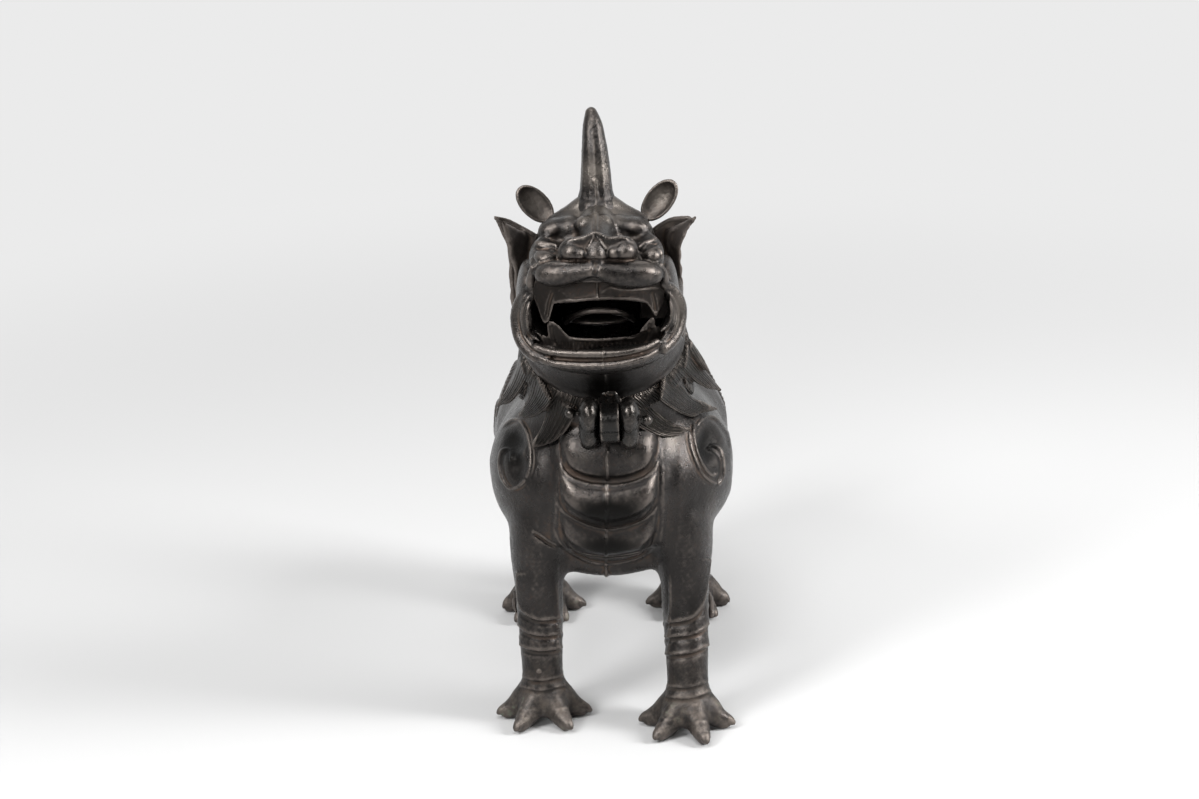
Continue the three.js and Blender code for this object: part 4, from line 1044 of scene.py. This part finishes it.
LIP_PADS = (
    # middle line in pixels from the outer end, then half heights
    ([(544.5, 273.2), (553, 273.8), (565, 272.8), (578, 270.4), (593, 267.8)], [10.4, 13, 12.8, 11.2, 9]),
    ([(652, 273.4), (643, 274), (628, 274.4), (613, 272.6), (599, 268.6)], [11.2, 13.8, 14.4, 13, 9.6]),
)
NOSE = [(557.5, 256), (558.5, 248.5), (562.5, 242.8), (569, 239), (577, 237), (583, 236.5), (588, 232.5),
        (594.5, 229.8), (602, 232.7), (608, 236.8), (618.5, 235.5), (628, 237), (635, 242.5),
        (637.5, 251.5), (635, 259), (615, 262), (597, 262), (577, 262), (561, 261)]
# Soft forms of the nose: pixel across and down, depth, half width and height in pixels, and half depth
NOSE_WINGS = ((571, 251, -101.2, 10.5, 9.8, 6.2), (579, 252, -101.4, 8, 8, 6),
              (624.5, 249.5, -101.2, 12, 10.4, 6.2), (614, 251, -101.4, 8, 8, 6))
NOSE_RIMS = (
    [(559.5, 256), (562, 246.5), (569, 241), (578, 239.6), (587, 237), (595, 233)],
    [(595, 233), (603.5, 237), (612, 239.2), (622, 238.6), (630.5, 241), (635, 247.5), (634.5, 256)],
)
MOUTH_ROLLS = (
    # places as pixel across, pixel down and depth; then radii
    ([(549, 264.5, -95), (540.5, 264.8, -96.5), (533.8, 269.5, -96), (530.6, 277.5, -93),
      (530.3, 286, -91.5), (531.5, 292, -90.5)], [1.3, 1.8, 1.9, 1.9, 1.9]),
    ([(646, 263.5, -95), (655.5, 264.6, -96.5), (662, 270.5, -96), (664.8, 279.5, -93),
      (665.3, 288, -91)], [1.3, 1.8, 1.9, 1.9, 1.9]),
    ([(531, 289, -91), (522, 298.5, -87.5), (517.6, 310, -85.5), (517.2, 322, -85.5), (520, 336, -87.5),
      (526.5, 348, -91.5), (536, 356.5, -96)], [2.2, 2.8, 3.1, 3.2, 3.2, 2.8]),
    ([(531.5, 294, -91.5), (526.3, 302.5, -89.5), (523.4, 312, -88.2), (523.2, 323, -88), (526, 335, -90),
      (533, 345, -93.5), (543, 352.5, -97.5)], [1.6, 1.9, 2.0, 2.0, 0.7]),
    ([(532, 298, -92), (529.5, 306, -90), (528.2, 314, -89), (528.5, 325, -89.5), (531.5, 333, -91),
      (539, 341, -94)], [1.2, 1.5, 1.6, 1.5, 0.6]),
    ([(664.5, 284, -92), (672.8, 291, -88.5), (678.7, 301, -86), (680.2, 313, -85.5), (678.2, 326, -87.5),
      (672.5, 339, -91.5), (663.5, 348.5, -96.5)], [2.2, 2.8, 3.1, 3.2, 3.2, 2.8]),
    ([(667.5, 291, -91), (673, 300, -89), (675, 311, -88), (673.6, 322, -89.5), (668.3, 333, -92.5),
      (660.5, 341.5, -96.5)], [1.6, 1.9, 2.0, 2.0, 0.7]),
    ([(667.8, 297, -91), (670.6, 306, -89.6), (670.2, 316, -90), (666.5, 325, -92),
      (661, 331, -94)], [1.2, 1.5, 1.6, 1.5, 0.6]),
    ([(536, 346.5, -96.5), (548, 351.3, -100), (565, 353.6, -103), (585, 354.2, -104.6), (604, 354.3, -105),
      (625, 352.7, -104), (643, 348.6, -101.5), (657, 341.5, -97.5)], [1.6, 1.9, 2, 1.9, 1.6]),
    ([(533, 353, -95), (545, 360, -99), (562, 363.6, -102.5), (585, 365, -104.4), (604, 365, -105),
      (624, 362.6, -104), (643, 357.3, -101.5), (657, 350, -97.5), (667, 340, -93)], [2, 2.2, 2.3, 2.2, 2]),
)
CHIN = ((540, 357, -90), (562, 358.5, -94), (603, 359, -96.5), (640, 353, -93.5), (660, 343, -89))


def make_head():
    """The hollow head with its nose and lips."""
    shell = cut(skull_form(), skull_hollow())
    form = bmesh.new()
    count = 44
    for places, halves in LIP_PADS:
        for (px, py), half in zip(flow(places, count), along(halves, count)):
            swelling(form, px, py, bent_back(px, -103.2, 0.0105), half, half, 6.2)
    nose = bmesh.new()
    slab(nose, NOSE, -104.4, 16, 0.006)
    take_in(form, one_skin(mesh_of(nose), 0.6, 16))
    for wing in NOSE_WINGS:
        swelling(form, *wing)
    roll(form, [sight(595, 237, -99), sight(595.5, 246, -102), sight(596, 255, -103.5)], [2.4, 4.0, 5.0], 20)
    for rim in NOSE_RIMS:
        roll(form, [sight(px, py, bent_back(px, -102.4, 0.006)) for px, py in rim], [1.1, 1.4, 1.4, 1.1], 50)
    for places, radii in MOUTH_ROLLS:
        roll(form, [sight(*place) for place in places], radii, 60 if len(places) > 6 else 40)
    roll(form, [sight(*place) for place in CHIN], [3.4, 4, 4.2, 4, 3.4], 50)
    lump(form, sight(546.5, 256, -91), (5.6, 7, 3.4))
    lump(form, sight(652, 254, -91), (5.0, 7, 4.2))
    take_in(form, shell)
    head = Casting(one_skin(mesh_of(form), 0.5, 4))
    head_details(head)
    place_piece(thinned(head.done(), MOST_TRIANGLES["head"]), "head_cast", "head", "head", "head_shell")


# Painted shade above 0 and painted highlights below 0: middle and half sizes in pixels, and amount
HEAD_PAINTED_LIGHT = (((606, 388), (95, 24), 0.95), ((600, 208), (54, 28), -0.85), ((679, 306), (12, 44), -0.55),
               ((519, 312), (12, 40), -0.35), ((545, 262), (26, 8), -0.3), ((646, 264), (26, 10), -0.35),
               ((597, 246), (44, 14), -0.15), ((597, 285), (60, 14), 0.4))
# Lines of the face: line in pixels, width in pixels, height, and the share of each end that fades
LIP_AND_NOSE_LINES = (
    ([(595.5, 258), (595.5, 266), (594, 276)], 4.5, -0.7, 0.1),
    ([(541, 264.8), (556, 263.4), (575, 262.4), (594, 262)], 2.2, 0.5, 0.12),
    ([(598, 262), (615, 261.6), (635, 261.8), (652, 264)], 2.2, 0.5, 0.12),
    ([(595, 235), (590, 244), (585.5, 251)], 2.2, 0.6, 0.12),
    ([(596.5, 236), (601.5, 244), (606.5, 251)], 2.2, 0.6, 0.12),
    ([(560, 260), (578, 261), (597, 261), (616, 261), (636, 259.5)], 3.2, -0.9, 0.12),
)
# Folds beside the nose, then the parting between the bumps on the forehead and the seam of the mould above
FOLD_LINES = (
    ([(534, 244), (543, 242.4), (551.3, 244.6), (559, 248.7)], 3.2, 1.1, 0.12),
    ([(534, 248.6), (544, 248.2), (551.3, 250.4), (558.5, 253.4)], 2.8, -1.2, 0.12),
    ([(637, 249.5), (644.9, 243.7), (651.5, 240.6), (658, 238)], 3.2, 1.1, 0.12),
    ([(638, 253.5), (646, 248.6), (652, 245.4), (659, 243.6)], 2.8, -1.2, 0.12),
    ([(534.8, 256), (530.6, 262), (531.2, 269)], 2.2, 0.6, 0.12),
    ([(657.5, 247.5), (661.8, 254), (662.6, 260), (661, 267)], 2.2, 0.7, 0.12),
    ([(595.5, 212), (595.5, 222), (595, 231)], 3.0, -0.9, 0.12),
    ([(595.5, 198), (595.5, 206), (595.5, 214)], 2.0, 0.4, 0.12),
)
CHEEK_RIDGES = (
    [(531.5, 294), (525, 303), (521.6, 313), (521.6, 324), (524.6, 336), (531.5, 346), (541, 353)],
    [(532, 299), (528.5, 307), (527, 315), (527.4, 325), (530.5, 334), (537, 341)],
    [(667, 290), (673.5, 299), (676.6, 311), (675.4, 323), (670.2, 335), (662, 344)],
    [(668, 297), (671.4, 306), (671.2, 316), (667.6, 325.5), (661.5, 332)],
)
# Two lines of the lower lip, then the seam of the mould on the lip and on the throat
CHIN_LINES = (
    ([(544, 355.5), (554.7, 358.3), (573.4, 360), (592, 360.3), (612, 359.6), (630, 356.8), (648, 351.5),
      (657, 347)], 2.8, -1.1, 0.12),
    ([(541, 359), (554, 363.2), (573.4, 365.4), (592, 366), (612, 365.2), (630, 362), (648, 356),
      (660, 349)], 2.0, 0.5, 0.12),
    ([(603.5, 346), (603, 368)], 1.7, 0.4, 0),
    ([(605.5, 374), (606.5, 388), (607.2, 401)], 1.6, 0.5, 0.05),
)


def head_details(head):
    """Lines of the lips, nose, cheeks and brows."""
    front = (head.place[:, 1] < -60).astype(float)
    across, down = head.pixel.T
    cheek = front * (np.abs(across - FACE_MIDDLE) > 50) * rising(down, 284, 6) * falling(down, 372, 6)
    lower_lip = front * rising(down, 341, 4) * falling(down, 372, 4)
    head.soften(np.maximum(cheek, 0.6 * lower_lip) * (head.facing > 0), 13)
    nose = front * rising(across, 554, 4) * falling(across, 642, 4)
    nose = nose * rising(down, 226, 4) * falling(down, 262, 4)
    head.soften(nose, 7)
    # Painted shade under the chin and above the upper teeth, painted highlights on the forehead, cheeks, lip
    # pads and nose
    for centre, radius, amount in HEAD_PAINTED_LIGHT:
        head.mark_light_and_wear(centre, radius, amount)
    for lip_end in ((550, 272.5), (648, 272)):
        head.swell(lip_end, (17, 12), 1.2, front)
    for line, width, rise, fade in LIP_AND_NOSE_LINES:
        head.stroke(line, width, rise, front, fade)
    for eye in ((551, 240), (641, 237.5)):
        head.swell(eye, (16, 5.5), -1.5, front)
    for line, width, rise, fade in FOLD_LINES:
        head.stroke(line, width, rise, front, fade)
    for line in CHEEK_RIDGES:
        head.stroke(line, 2.0, 0.5, front)
        head.stroke(moved(line, 2.8, 0, FACE_MIDDLE), 2.0, -0.45, front)
    for line, width, rise, fade in CHIN_LINES:
        head.stroke(line, width, rise, front, fade)


# Mouth: tooth plates cut from thin sheet, and the tongue

UPPER_TEETH = [(534, 281), (545, 276), (556, 274), (570, 272), (581, 271), (592, 270), (597, 270),
               (603, 271), (612, 272), (630, 274), (645, 276), (660, 280), (664.5, 289), (664.3, 298),
               (660.5, 308), (656.3, 316.8), (654, 314.5), (650, 307.5), (646.7, 303), (630, 300.5),
               (610, 299.8), (590, 300.6), (573, 302.4), (554, 303.6), (551.8, 311), (548.8, 321.5),
               (545, 323.7), (542.3, 321), (537.5, 307.6), (531.8, 293)]
LOWER_TEETH = [(540.5, 337.5), (543, 334.5), (545.5, 336), (548.3, 337.4), (547.3, 329), (547, 324),
               (549, 321.4), (553.5, 321.6), (559.7, 326), (564.7, 332.2), (570, 336.8), (586, 338),
               (604.5, 338.2), (630, 336.3), (639, 333), (641.8, 328), (648, 320.5), (652.4, 317),
               (655.2, 319), (655.4, 326.8), (660, 326), (661.5, 333), (660, 342), (650, 348), (632, 353),
               (604, 356), (575, 356), (555, 354), (545, 347)]
# Lines on the tooth plates: line in pixels, width in pixels, height, and the share of each end that fades
UPPER_LINES = (
    ([(553, 291), (549, 304), (546.5, 318)], 2.6, -0.7, 0.12),
    ([(652, 291), (655, 303), (656, 312)], 2.6, -0.7, 0.12),
    ([(597, 276), (597.5, 300)], 1.6, 0.5, 0),
    ([(552, 301.5), (573, 300.3), (590, 298.6), (610, 297.8), (630, 298.5), (647, 301)], 2, 0.4, 0.12),
    ([(609, 287.5), (630, 290), (661, 288)], 2, 0.4, 0.12),
)
LOWER_LINES = (
    ([(571, 338.8), (586, 340), (604, 340), (630, 338.2), (640, 335)], 1.8, 0.45, 0.12),
    *(([(562 + i * 4.6, 341), (562 + i * 4.6 + 0.4, 352)], 1.5, -0.22, 0.1) for i in range(19)),
    ([(551, 325), (552, 336), (556, 346)], 3, -0.4, 0.12),
    ([(650, 322), (649, 334), (645, 344)], 3, -0.4, 0.12),
)
TONGUE_EDGE = ((566, 323, -80), (576, 315.3, -87), (588, 311.5, -91), (600, 310.4, -92), (613, 311.2, -91),
               (625, 314.6, -87), (634, 320.5, -80))


def make_mouth():
    """The two tooth plates and the tongue."""
    for row, outline, y, lines in (("upper", UPPER_TEETH, -101.5, UPPER_LINES),
                                   ("lower", LOWER_TEETH, -100.5, LOWER_LINES)):
        form = bmesh.new()
        slab(form, outline, y, 3.2, 0.0115)

        def details(plate):
            """Grooves and ridges of the teeth."""
            for line, width, rise, fade in lines:
                plate.stroke(line, width, rise, fade=fade)

        thin_piece(form, 0.45, 3, row + "_teeth_cast", "teeth", "head", row + "_tooth_plate", details)
    form = bmesh.new()
    lump(form, sight(600, 317, -74), (15.5, 12, 2.2), (-4, 0, 0), 32)
    roll(form, [sight(*place) for place in TONGUE_EDGE], [1.2, 1.5, 1.6, 1.5, 1.2], 40)
    thin_piece(form, 0.6, 3, "tongue_cast", "teeth", "head", "tongue")


# Horn, ears and hood

HORN = ((596.5, 217, -58), (596.5, 208, -56.5), (596.3, 200, -56), (596.2, 193, -55.9), (596, 183, -55.5),
        (595.6, 168, -54.6), (594.6, 150, -53.4), (592.8, 127, -49.6), (591.2, 112.9, -46.2))
HORN_RADII = [11.5, 9.6, 8.5, 7.7, 7.2, 6.7, 6.0, 4.7, 2.8]
# Base and tip in pixels
EARS = (("ear_right", (551, 219), (519.5, 189)), ("ear_left", (644.5, 218), (673.5, 182.4)))
EAR_DEPTH = -49.5


def make_horn():
    """The horn, which leans back towards its tip."""
    form = bmesh.new()
    roll(form, [sight(*place) for place in HORN], HORN_RADII, 140)

    def details(horn):
        """A ridge and a groove near the root, a painted highlight in the middle, painted shade at the root
        and darker at the tip.
        """
        horn.stroke([(597, 204), (596, 190), (594.6, 178)], 3, 0.35)
        horn.stroke([(587, 203), (586.5, 190), (586, 176)], 4, -0.3)
        horn.mark_light_and_wear((594, 172), (26, 26), -0.75)
        horn.mark_light_and_wear((596, 198), (16, 12), 0.5)
        horn.mark_light_and_wear((592, 118), (14, 14), 0.3)

    thin_piece(form, 0.5, 6, "horn_cast", "head", "head", "horn", details)


def make_ears():
    """Two cupped ears with a rolled rim, each on a short stem."""
    for name, base, tip in EARS:
        low, high = sight(*base, EAR_DEPTH), sight(*tip, EAR_DEPTH)
        ahead = (high - low).normalized()
        facing = (-AHEAD + Vector((0, 0, 0.25))).normalized()
        across = facing.cross(ahead).normalized()
        out = ahead.cross(across)
        axes = Matrix((ahead, across, out)).transposed().to_4x4()
        half, middle = (high - low).length / 2, (low + high) / 2

        def shell(back, longer, width, depth):
            """An ellipsoid in line with the ear."""
            form = bmesh.new()
            sizes = Matrix.Diagonal(((half + longer) * MM, width * MM, depth * MM, 1))
            bmesh.ops.create_uvsphere(form, u_segments=40, v_segments=24, radius=1,
                                      matrix=Matrix.Translation((middle - out * back) * MM) @ axes @ sizes)
            return mesh_of(form)

        def details(ear):
            """Wear inside the cup."""
            ear.mark_light_and_wear((base[0] * 0.4 + tip[0] * 0.6, base[1] * 0.4 + tip[1] * 0.6), (17, 17), -0.7)

        cup = cut(shell(1.2, 0.6, 6.3, 3.6), shell(-1.9, 0.2, 6.0, 4.4))
        form = bmesh.new()
        roll(form, [low - ahead * 4 - out * 2.8, low + ahead * 0.4 - out * 3.2], [3.0, 1.8], 8)
        rim = [middle + ahead * (half * math.cos(a)) + across * (5.7 * math.sin(a)) - out * 0.6
               for a in np.linspace(0, 2 * math.pi, 17)]
        roll(form, rim, [0.75, 0.75], 90)
        take_in(form, cup)
        thin_piece(form, 0.4, 2, name + "_cast", "ear", "head", name, details)


# Upright sheets beside the face, in pixels. The upper edge comes first, and the outer edge last
HOOD_SHEETS = (
    [(493.5, 213), (500, 214.5), (509, 218.6), (518.3, 224), (535, 233), (552, 240), (552, 318), (520, 318),
     (513.5, 313), (511.2, 303), (509, 263), (507.8, 246), (500.5, 231)],
    [(695.5, 217), (690, 215.4), (681, 216), (672, 218), (653, 228), (640, 236), (640, 318), (674, 318),
     (681, 313), (682.2, 303), (680.4, 263), (679.2, 236), (683, 226.5)],
)
# How far the left side of the hood comes in, by height
HOOD_LEFT = ([200, 206, 215, 226, 235, 243, 250], [0.5, 1.6, 2.0, 2.8, 4.0, 2.6, 0])


def make_hood():
    """The upright cape of hair behind the face. Its upper corners bend outwards."""
    form = bmesh.new()
    solid_copy(form, "mane_hood")
    mesh = one_skin(mesh_of(form), 0.8, 8)
    form = bmesh.new()
    take_in(form, mesh)
    for outline in HOOD_SHEETS:
        slab(form, outline, -44, 3.2)
    hood = Casting(outer_skin(one_skin(mesh_of(form), 0.6, 5)))
    front = (hood.place[:, 1] < -38).astype(float)
    for outline, inward in zip(HOOD_SHEETS, (1, -1)):
        hood.stroke(moved(outline[8:], inward * 2.2), 3.0, 0.7, front, 0.05)
        hood.stroke(moved(outline[:5], 0, 2.4), 3.0, 0.7, front, 0.05)
    x, _, z = hood.place.T
    hood.place[:, 1] -= 5 * (rising(z, 236, 16) * rising(np.abs(x), 34, 11)) ** 2
    hood.place[:, 0] -= np.interp(z, *HOOD_LEFT) * rising(x, 24, 9)
    hood.settle()
    degrees, _, _ = round_neck(hood.place)
    turn = np.radians(degrees)
    outwards = hood.out @ np.array((0, 0.87, 0.48)) * -np.cos(turn) + hood.out[:, 0] * np.sin(turn)
    combed = rising(z, 204, 8) * np.clip(outwards * 2 - 0.6, 0, 1) * rising(np.abs(degrees), 60, 20)
    hood.push(0.28 * combed * np.sin(turn * 62 + 1.4 * np.sin(z / 9)))
    place_piece(thinned(hood.done(), MOST_TRIANGLES["hood"]), "hood_cast", "hood", "head", "mane_hood")


# Hinge

PIN_LEFT, PIN_RIGHT, PIN_DEPTH = (647, 420), (570.3, 413.4), -84.3
KNUCKLE = Vector((0, PIN_DEPTH, 165))
# The strap of the leaf starts here and runs up the throat
STRAP_FOOT, STRAP_WAY = (2, -73.1, 170.2), (0, -0.4848, 0.8746)


def make_hinge():
    """Two bulbous lugs, the leaf between them, and the pin with a ball at each end."""
    for name, left, right in (("hinge_lug_right", 580, 598.2), ("hinge_lug_left", 619.6, 638)):
        form = bmesh.new()
        middle = (left + right) / 2
        for share in np.linspace(0, 1, 16):
            bulb = 7.3 - 1.3 * share + 0.5 * math.cos(share * 2 * math.pi)
            place = sight(middle, 414 + 20 * share, -84.8 + 4.4 * share)
            lump(form, place, (4.9 - 0.3 * share, bulb, bulb), fine=24)
        roll(form, [sight(middle, 432, -78), sight(middle, 442, -71)], [4.2, 4.4], 8)
        thin_piece(form, 0.4, 4, name + "_cast", "hinge", "vessel", name)

    form = bmesh.new()
    tube(form, KNUCKLE + Vector((-2.3, -0.6, 0.4)), (1, 0, 0), 7.0, 8.6, None, 48)
    tube(form, KNUCKLE + Vector((-2.3, 1.5, -6)), (1, 0, 0), 5.8, 8.6, None, 48)
    for rise in np.linspace(0.5, 4.5, 8):
        lump(form, [start + step * rise for start, step in zip(STRAP_FOOT, STRAP_WAY)], (4.0, 1.3, 1.6))
    for x in (-0.4, 2, 4.4):
        roll(form, [KNUCKLE + Vector((x, 2, 3.6)), (x, -75, 171.5)], [3.2, 2.6], 8)

    def seam(leaf):
        """The seam of the mould on the strap."""
        leaf.stroke([(607, 384), (607.4, 394), (608, 404)], 1.6, 0.4)

    thin_piece(form, 0.4, 3, "hinge_leaf_cast", "hinge", "head", "hinge_leaf", seam)

    left, right = sight(*PIN_LEFT, PIN_DEPTH), sight(*PIN_RIGHT, PIN_DEPTH)
    pin = left - right
    for name, centre, side in (("hinge_pin_ball", right, -1), ("hinge_pin", left, 1)):
        form = bmesh.new()
        if name == "hinge_pin":
            tube(form, right + pin * 0.12, pin, 1.7, pin.length * 0.88, None, 24)
        lump(form, centre, (2.5, 2.5, 2.5), fine=24)
        tube(form, centre - Vector((side * 3.6, 0, 0)), (side, 0, 0), 1.1, 3, None, 20)
        thin_piece(form, 0.3, 2, name + "_cast", "hinge", "vessel", name)


# Tail

def make_tail():
    """Three curled plumes laid up against the rump."""
    root, tallest = 121, 52
    form = bmesh.new()
    for spread, height in ((0, tallest), (8.5, 39), (-8.5, 39)):
        line = [(0, 96, root), (spread * 0.45, 105, root + height * 0.3),
                (spread * 0.95, 104, root + height * 0.7), (spread * 1.45, 107, root + height * 0.94)]
        blade(form, line, [4, 6.4, 5, 1.4], [4, 4.2, 3, 1.2], (0, 1, 0), 26)
    tail = Casting(outer_skin(one_skin(mesh_of(form), 0.6, 4)))
    x, y, z = tail.place.T
    lean = 8 * ((z - root) / tallest)
    tail.push(np.cos((x - lean * np.sign(x)) * 2 * math.pi / 2.2) * 0.3 * (y > 99))
    tail.write("comb", (x - lean * np.sign(x)) * 6)
    place_piece(thinned(tail.done(), MOST_TRIANGLES["tail"]), "tail_cast", "mane", "vessel", "tail")


# Stage: floor, world, lamps and camera

WORLD_DIM, WORLD_BRIGHT, WORLD_SHOWN = 0.03, 0.97, 0.83
BACKGROUND = rgb(235, 235, 235)
# Name, place, aim, width, height and watts
LAMPS = (
    ("key_softbox", (-0.95, -0.9, 1.15), (0, 0, 0.13), 0.4, 0.5, 20),
    ("right_softbox", (1.1, -0.3, 0.75), (0, 0, 0.15), 0.3, 0.9, 26),
    ("top_softbox", (-0.1, -0.5, 1.5), (0, 0, 0.1), 0.9, 0.6, 14),
    ("front_softbox", (-0.5, -1.9, 1.0), (0, 0, 0.17), 0.5, 0.9, 11),
)


def make_floor():
    """A pale paper floor that runs out into an even background."""
    form = bmesh.new()
    bmesh.ops.create_grid(form, x_segments=1, y_segments=1, size=6)
    floor = shown(mesh_of(form), "floor")
    paper = Finish(bpy.data.materials.new("pale_paper"))
    place = paper.node("ShaderNodeTexCoord", {}, {}, "Object")
    shade = paper.mix(paper.noise(place, 1.5, 1).rise(0.3, 0.7), rgb(182, 182, 182), rgb(184, 184, 184))
    away = paper.node("ShaderNodeVectorMath", {"operation": "LENGTH"}, {0: place}, "Value")
    far = away.rise(0.26, 0.9) * paper.shown_to("Camera", "Glossy", "Transmission")
    near = paper.node("ShaderNodeBsdfPrincipled", {},
                      {"Base Color": shade, "Roughness": 0.9, "Specular IOR Level": 0.1})
    glow = paper.node("ShaderNodeEmission", {}, {"Color": BACKGROUND, "Strength": 1.0})
    both = paper.node("ShaderNodeMixShader", {}, {0: far, 1: near, 2: glow})
    paper.node("ShaderNodeOutputMaterial", {}, {"Surface": both})
    floor.data.materials.append(paper.owner)


def make_world():
    """A plain studio: dim in front of the beast and bright behind it, and even where the camera sees it."""
    world = bpy.data.worlds.new("studio")
    bpy.context.scene.world = world
    studio = Finish(world)
    way = studio.node("ShaderNodeTexCoord", {}, {}, "Generated")
    back = studio.node("ShaderNodeSeparateXYZ", {}, {0: way}, "Y")
    light = back.rise(-0.7, 0.7, WORLD_DIM, WORLD_BRIGHT)
    seen = studio.shown_to("Camera")
    strength = light + (WORLD_SHOWN - light) * seen
    sky = studio.node("ShaderNodeBackground", {}, {"Color": (1, 1, 1, 1), "Strength": strength})
    studio.node("ShaderNodeOutputWorld", {}, {"Surface": sky})


def make_lamps():
    """Soft boxes round the beast."""
    for name, place, aim, width, height, watts in LAMPS:
        light = bpy.data.lights.new(name, "AREA")
        light.shape = "RECTANGLE"
        light.size = width
        light.size_y = height
        light.energy = watts
        lamp = bpy.data.objects.new(name, light)
        bpy.context.scene.collection.objects.link(lamp)
        lamp.location = place
        lamp.rotation_euler = (Vector(aim) - Vector(place)).to_track_quat("-Z", "Y").to_euler()


def make_camera():
    """The camera on the photograph's line of sight."""
    film = 36
    camera = bpy.data.cameras.new("camera")
    camera.sensor_fit = "HORIZONTAL"
    camera.sensor_width = film
    camera.lens = PHOTO_FOCUS / PHOTO_WIDTH * film
    camera.clip_end = 50
    eye = bpy.data.objects.new("camera", camera)
    bpy.context.scene.collection.objects.link(eye)
    axes = Matrix((RIGHT, UP, -AHEAD)).transposed().to_4x4()
    eye.matrix_world = Matrix.Translation(EYE_PLACE * MM) @ axes
    bpy.context.scene.camera = eye
    bpy.context.scene.view_settings.view_transform = "Standard"


make_floor()
make_world()
make_lamps()
make_camera()
make_body()
make_head()
make_mouth()
make_horn()
make_ears()
make_hood()
make_hinge()
make_tail()
for name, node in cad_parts.items():
    node.data.materials.clear()
    node.data.materials.append(BRONZE[SOLID_FINISH.get(name.split("_")[0], "head")])
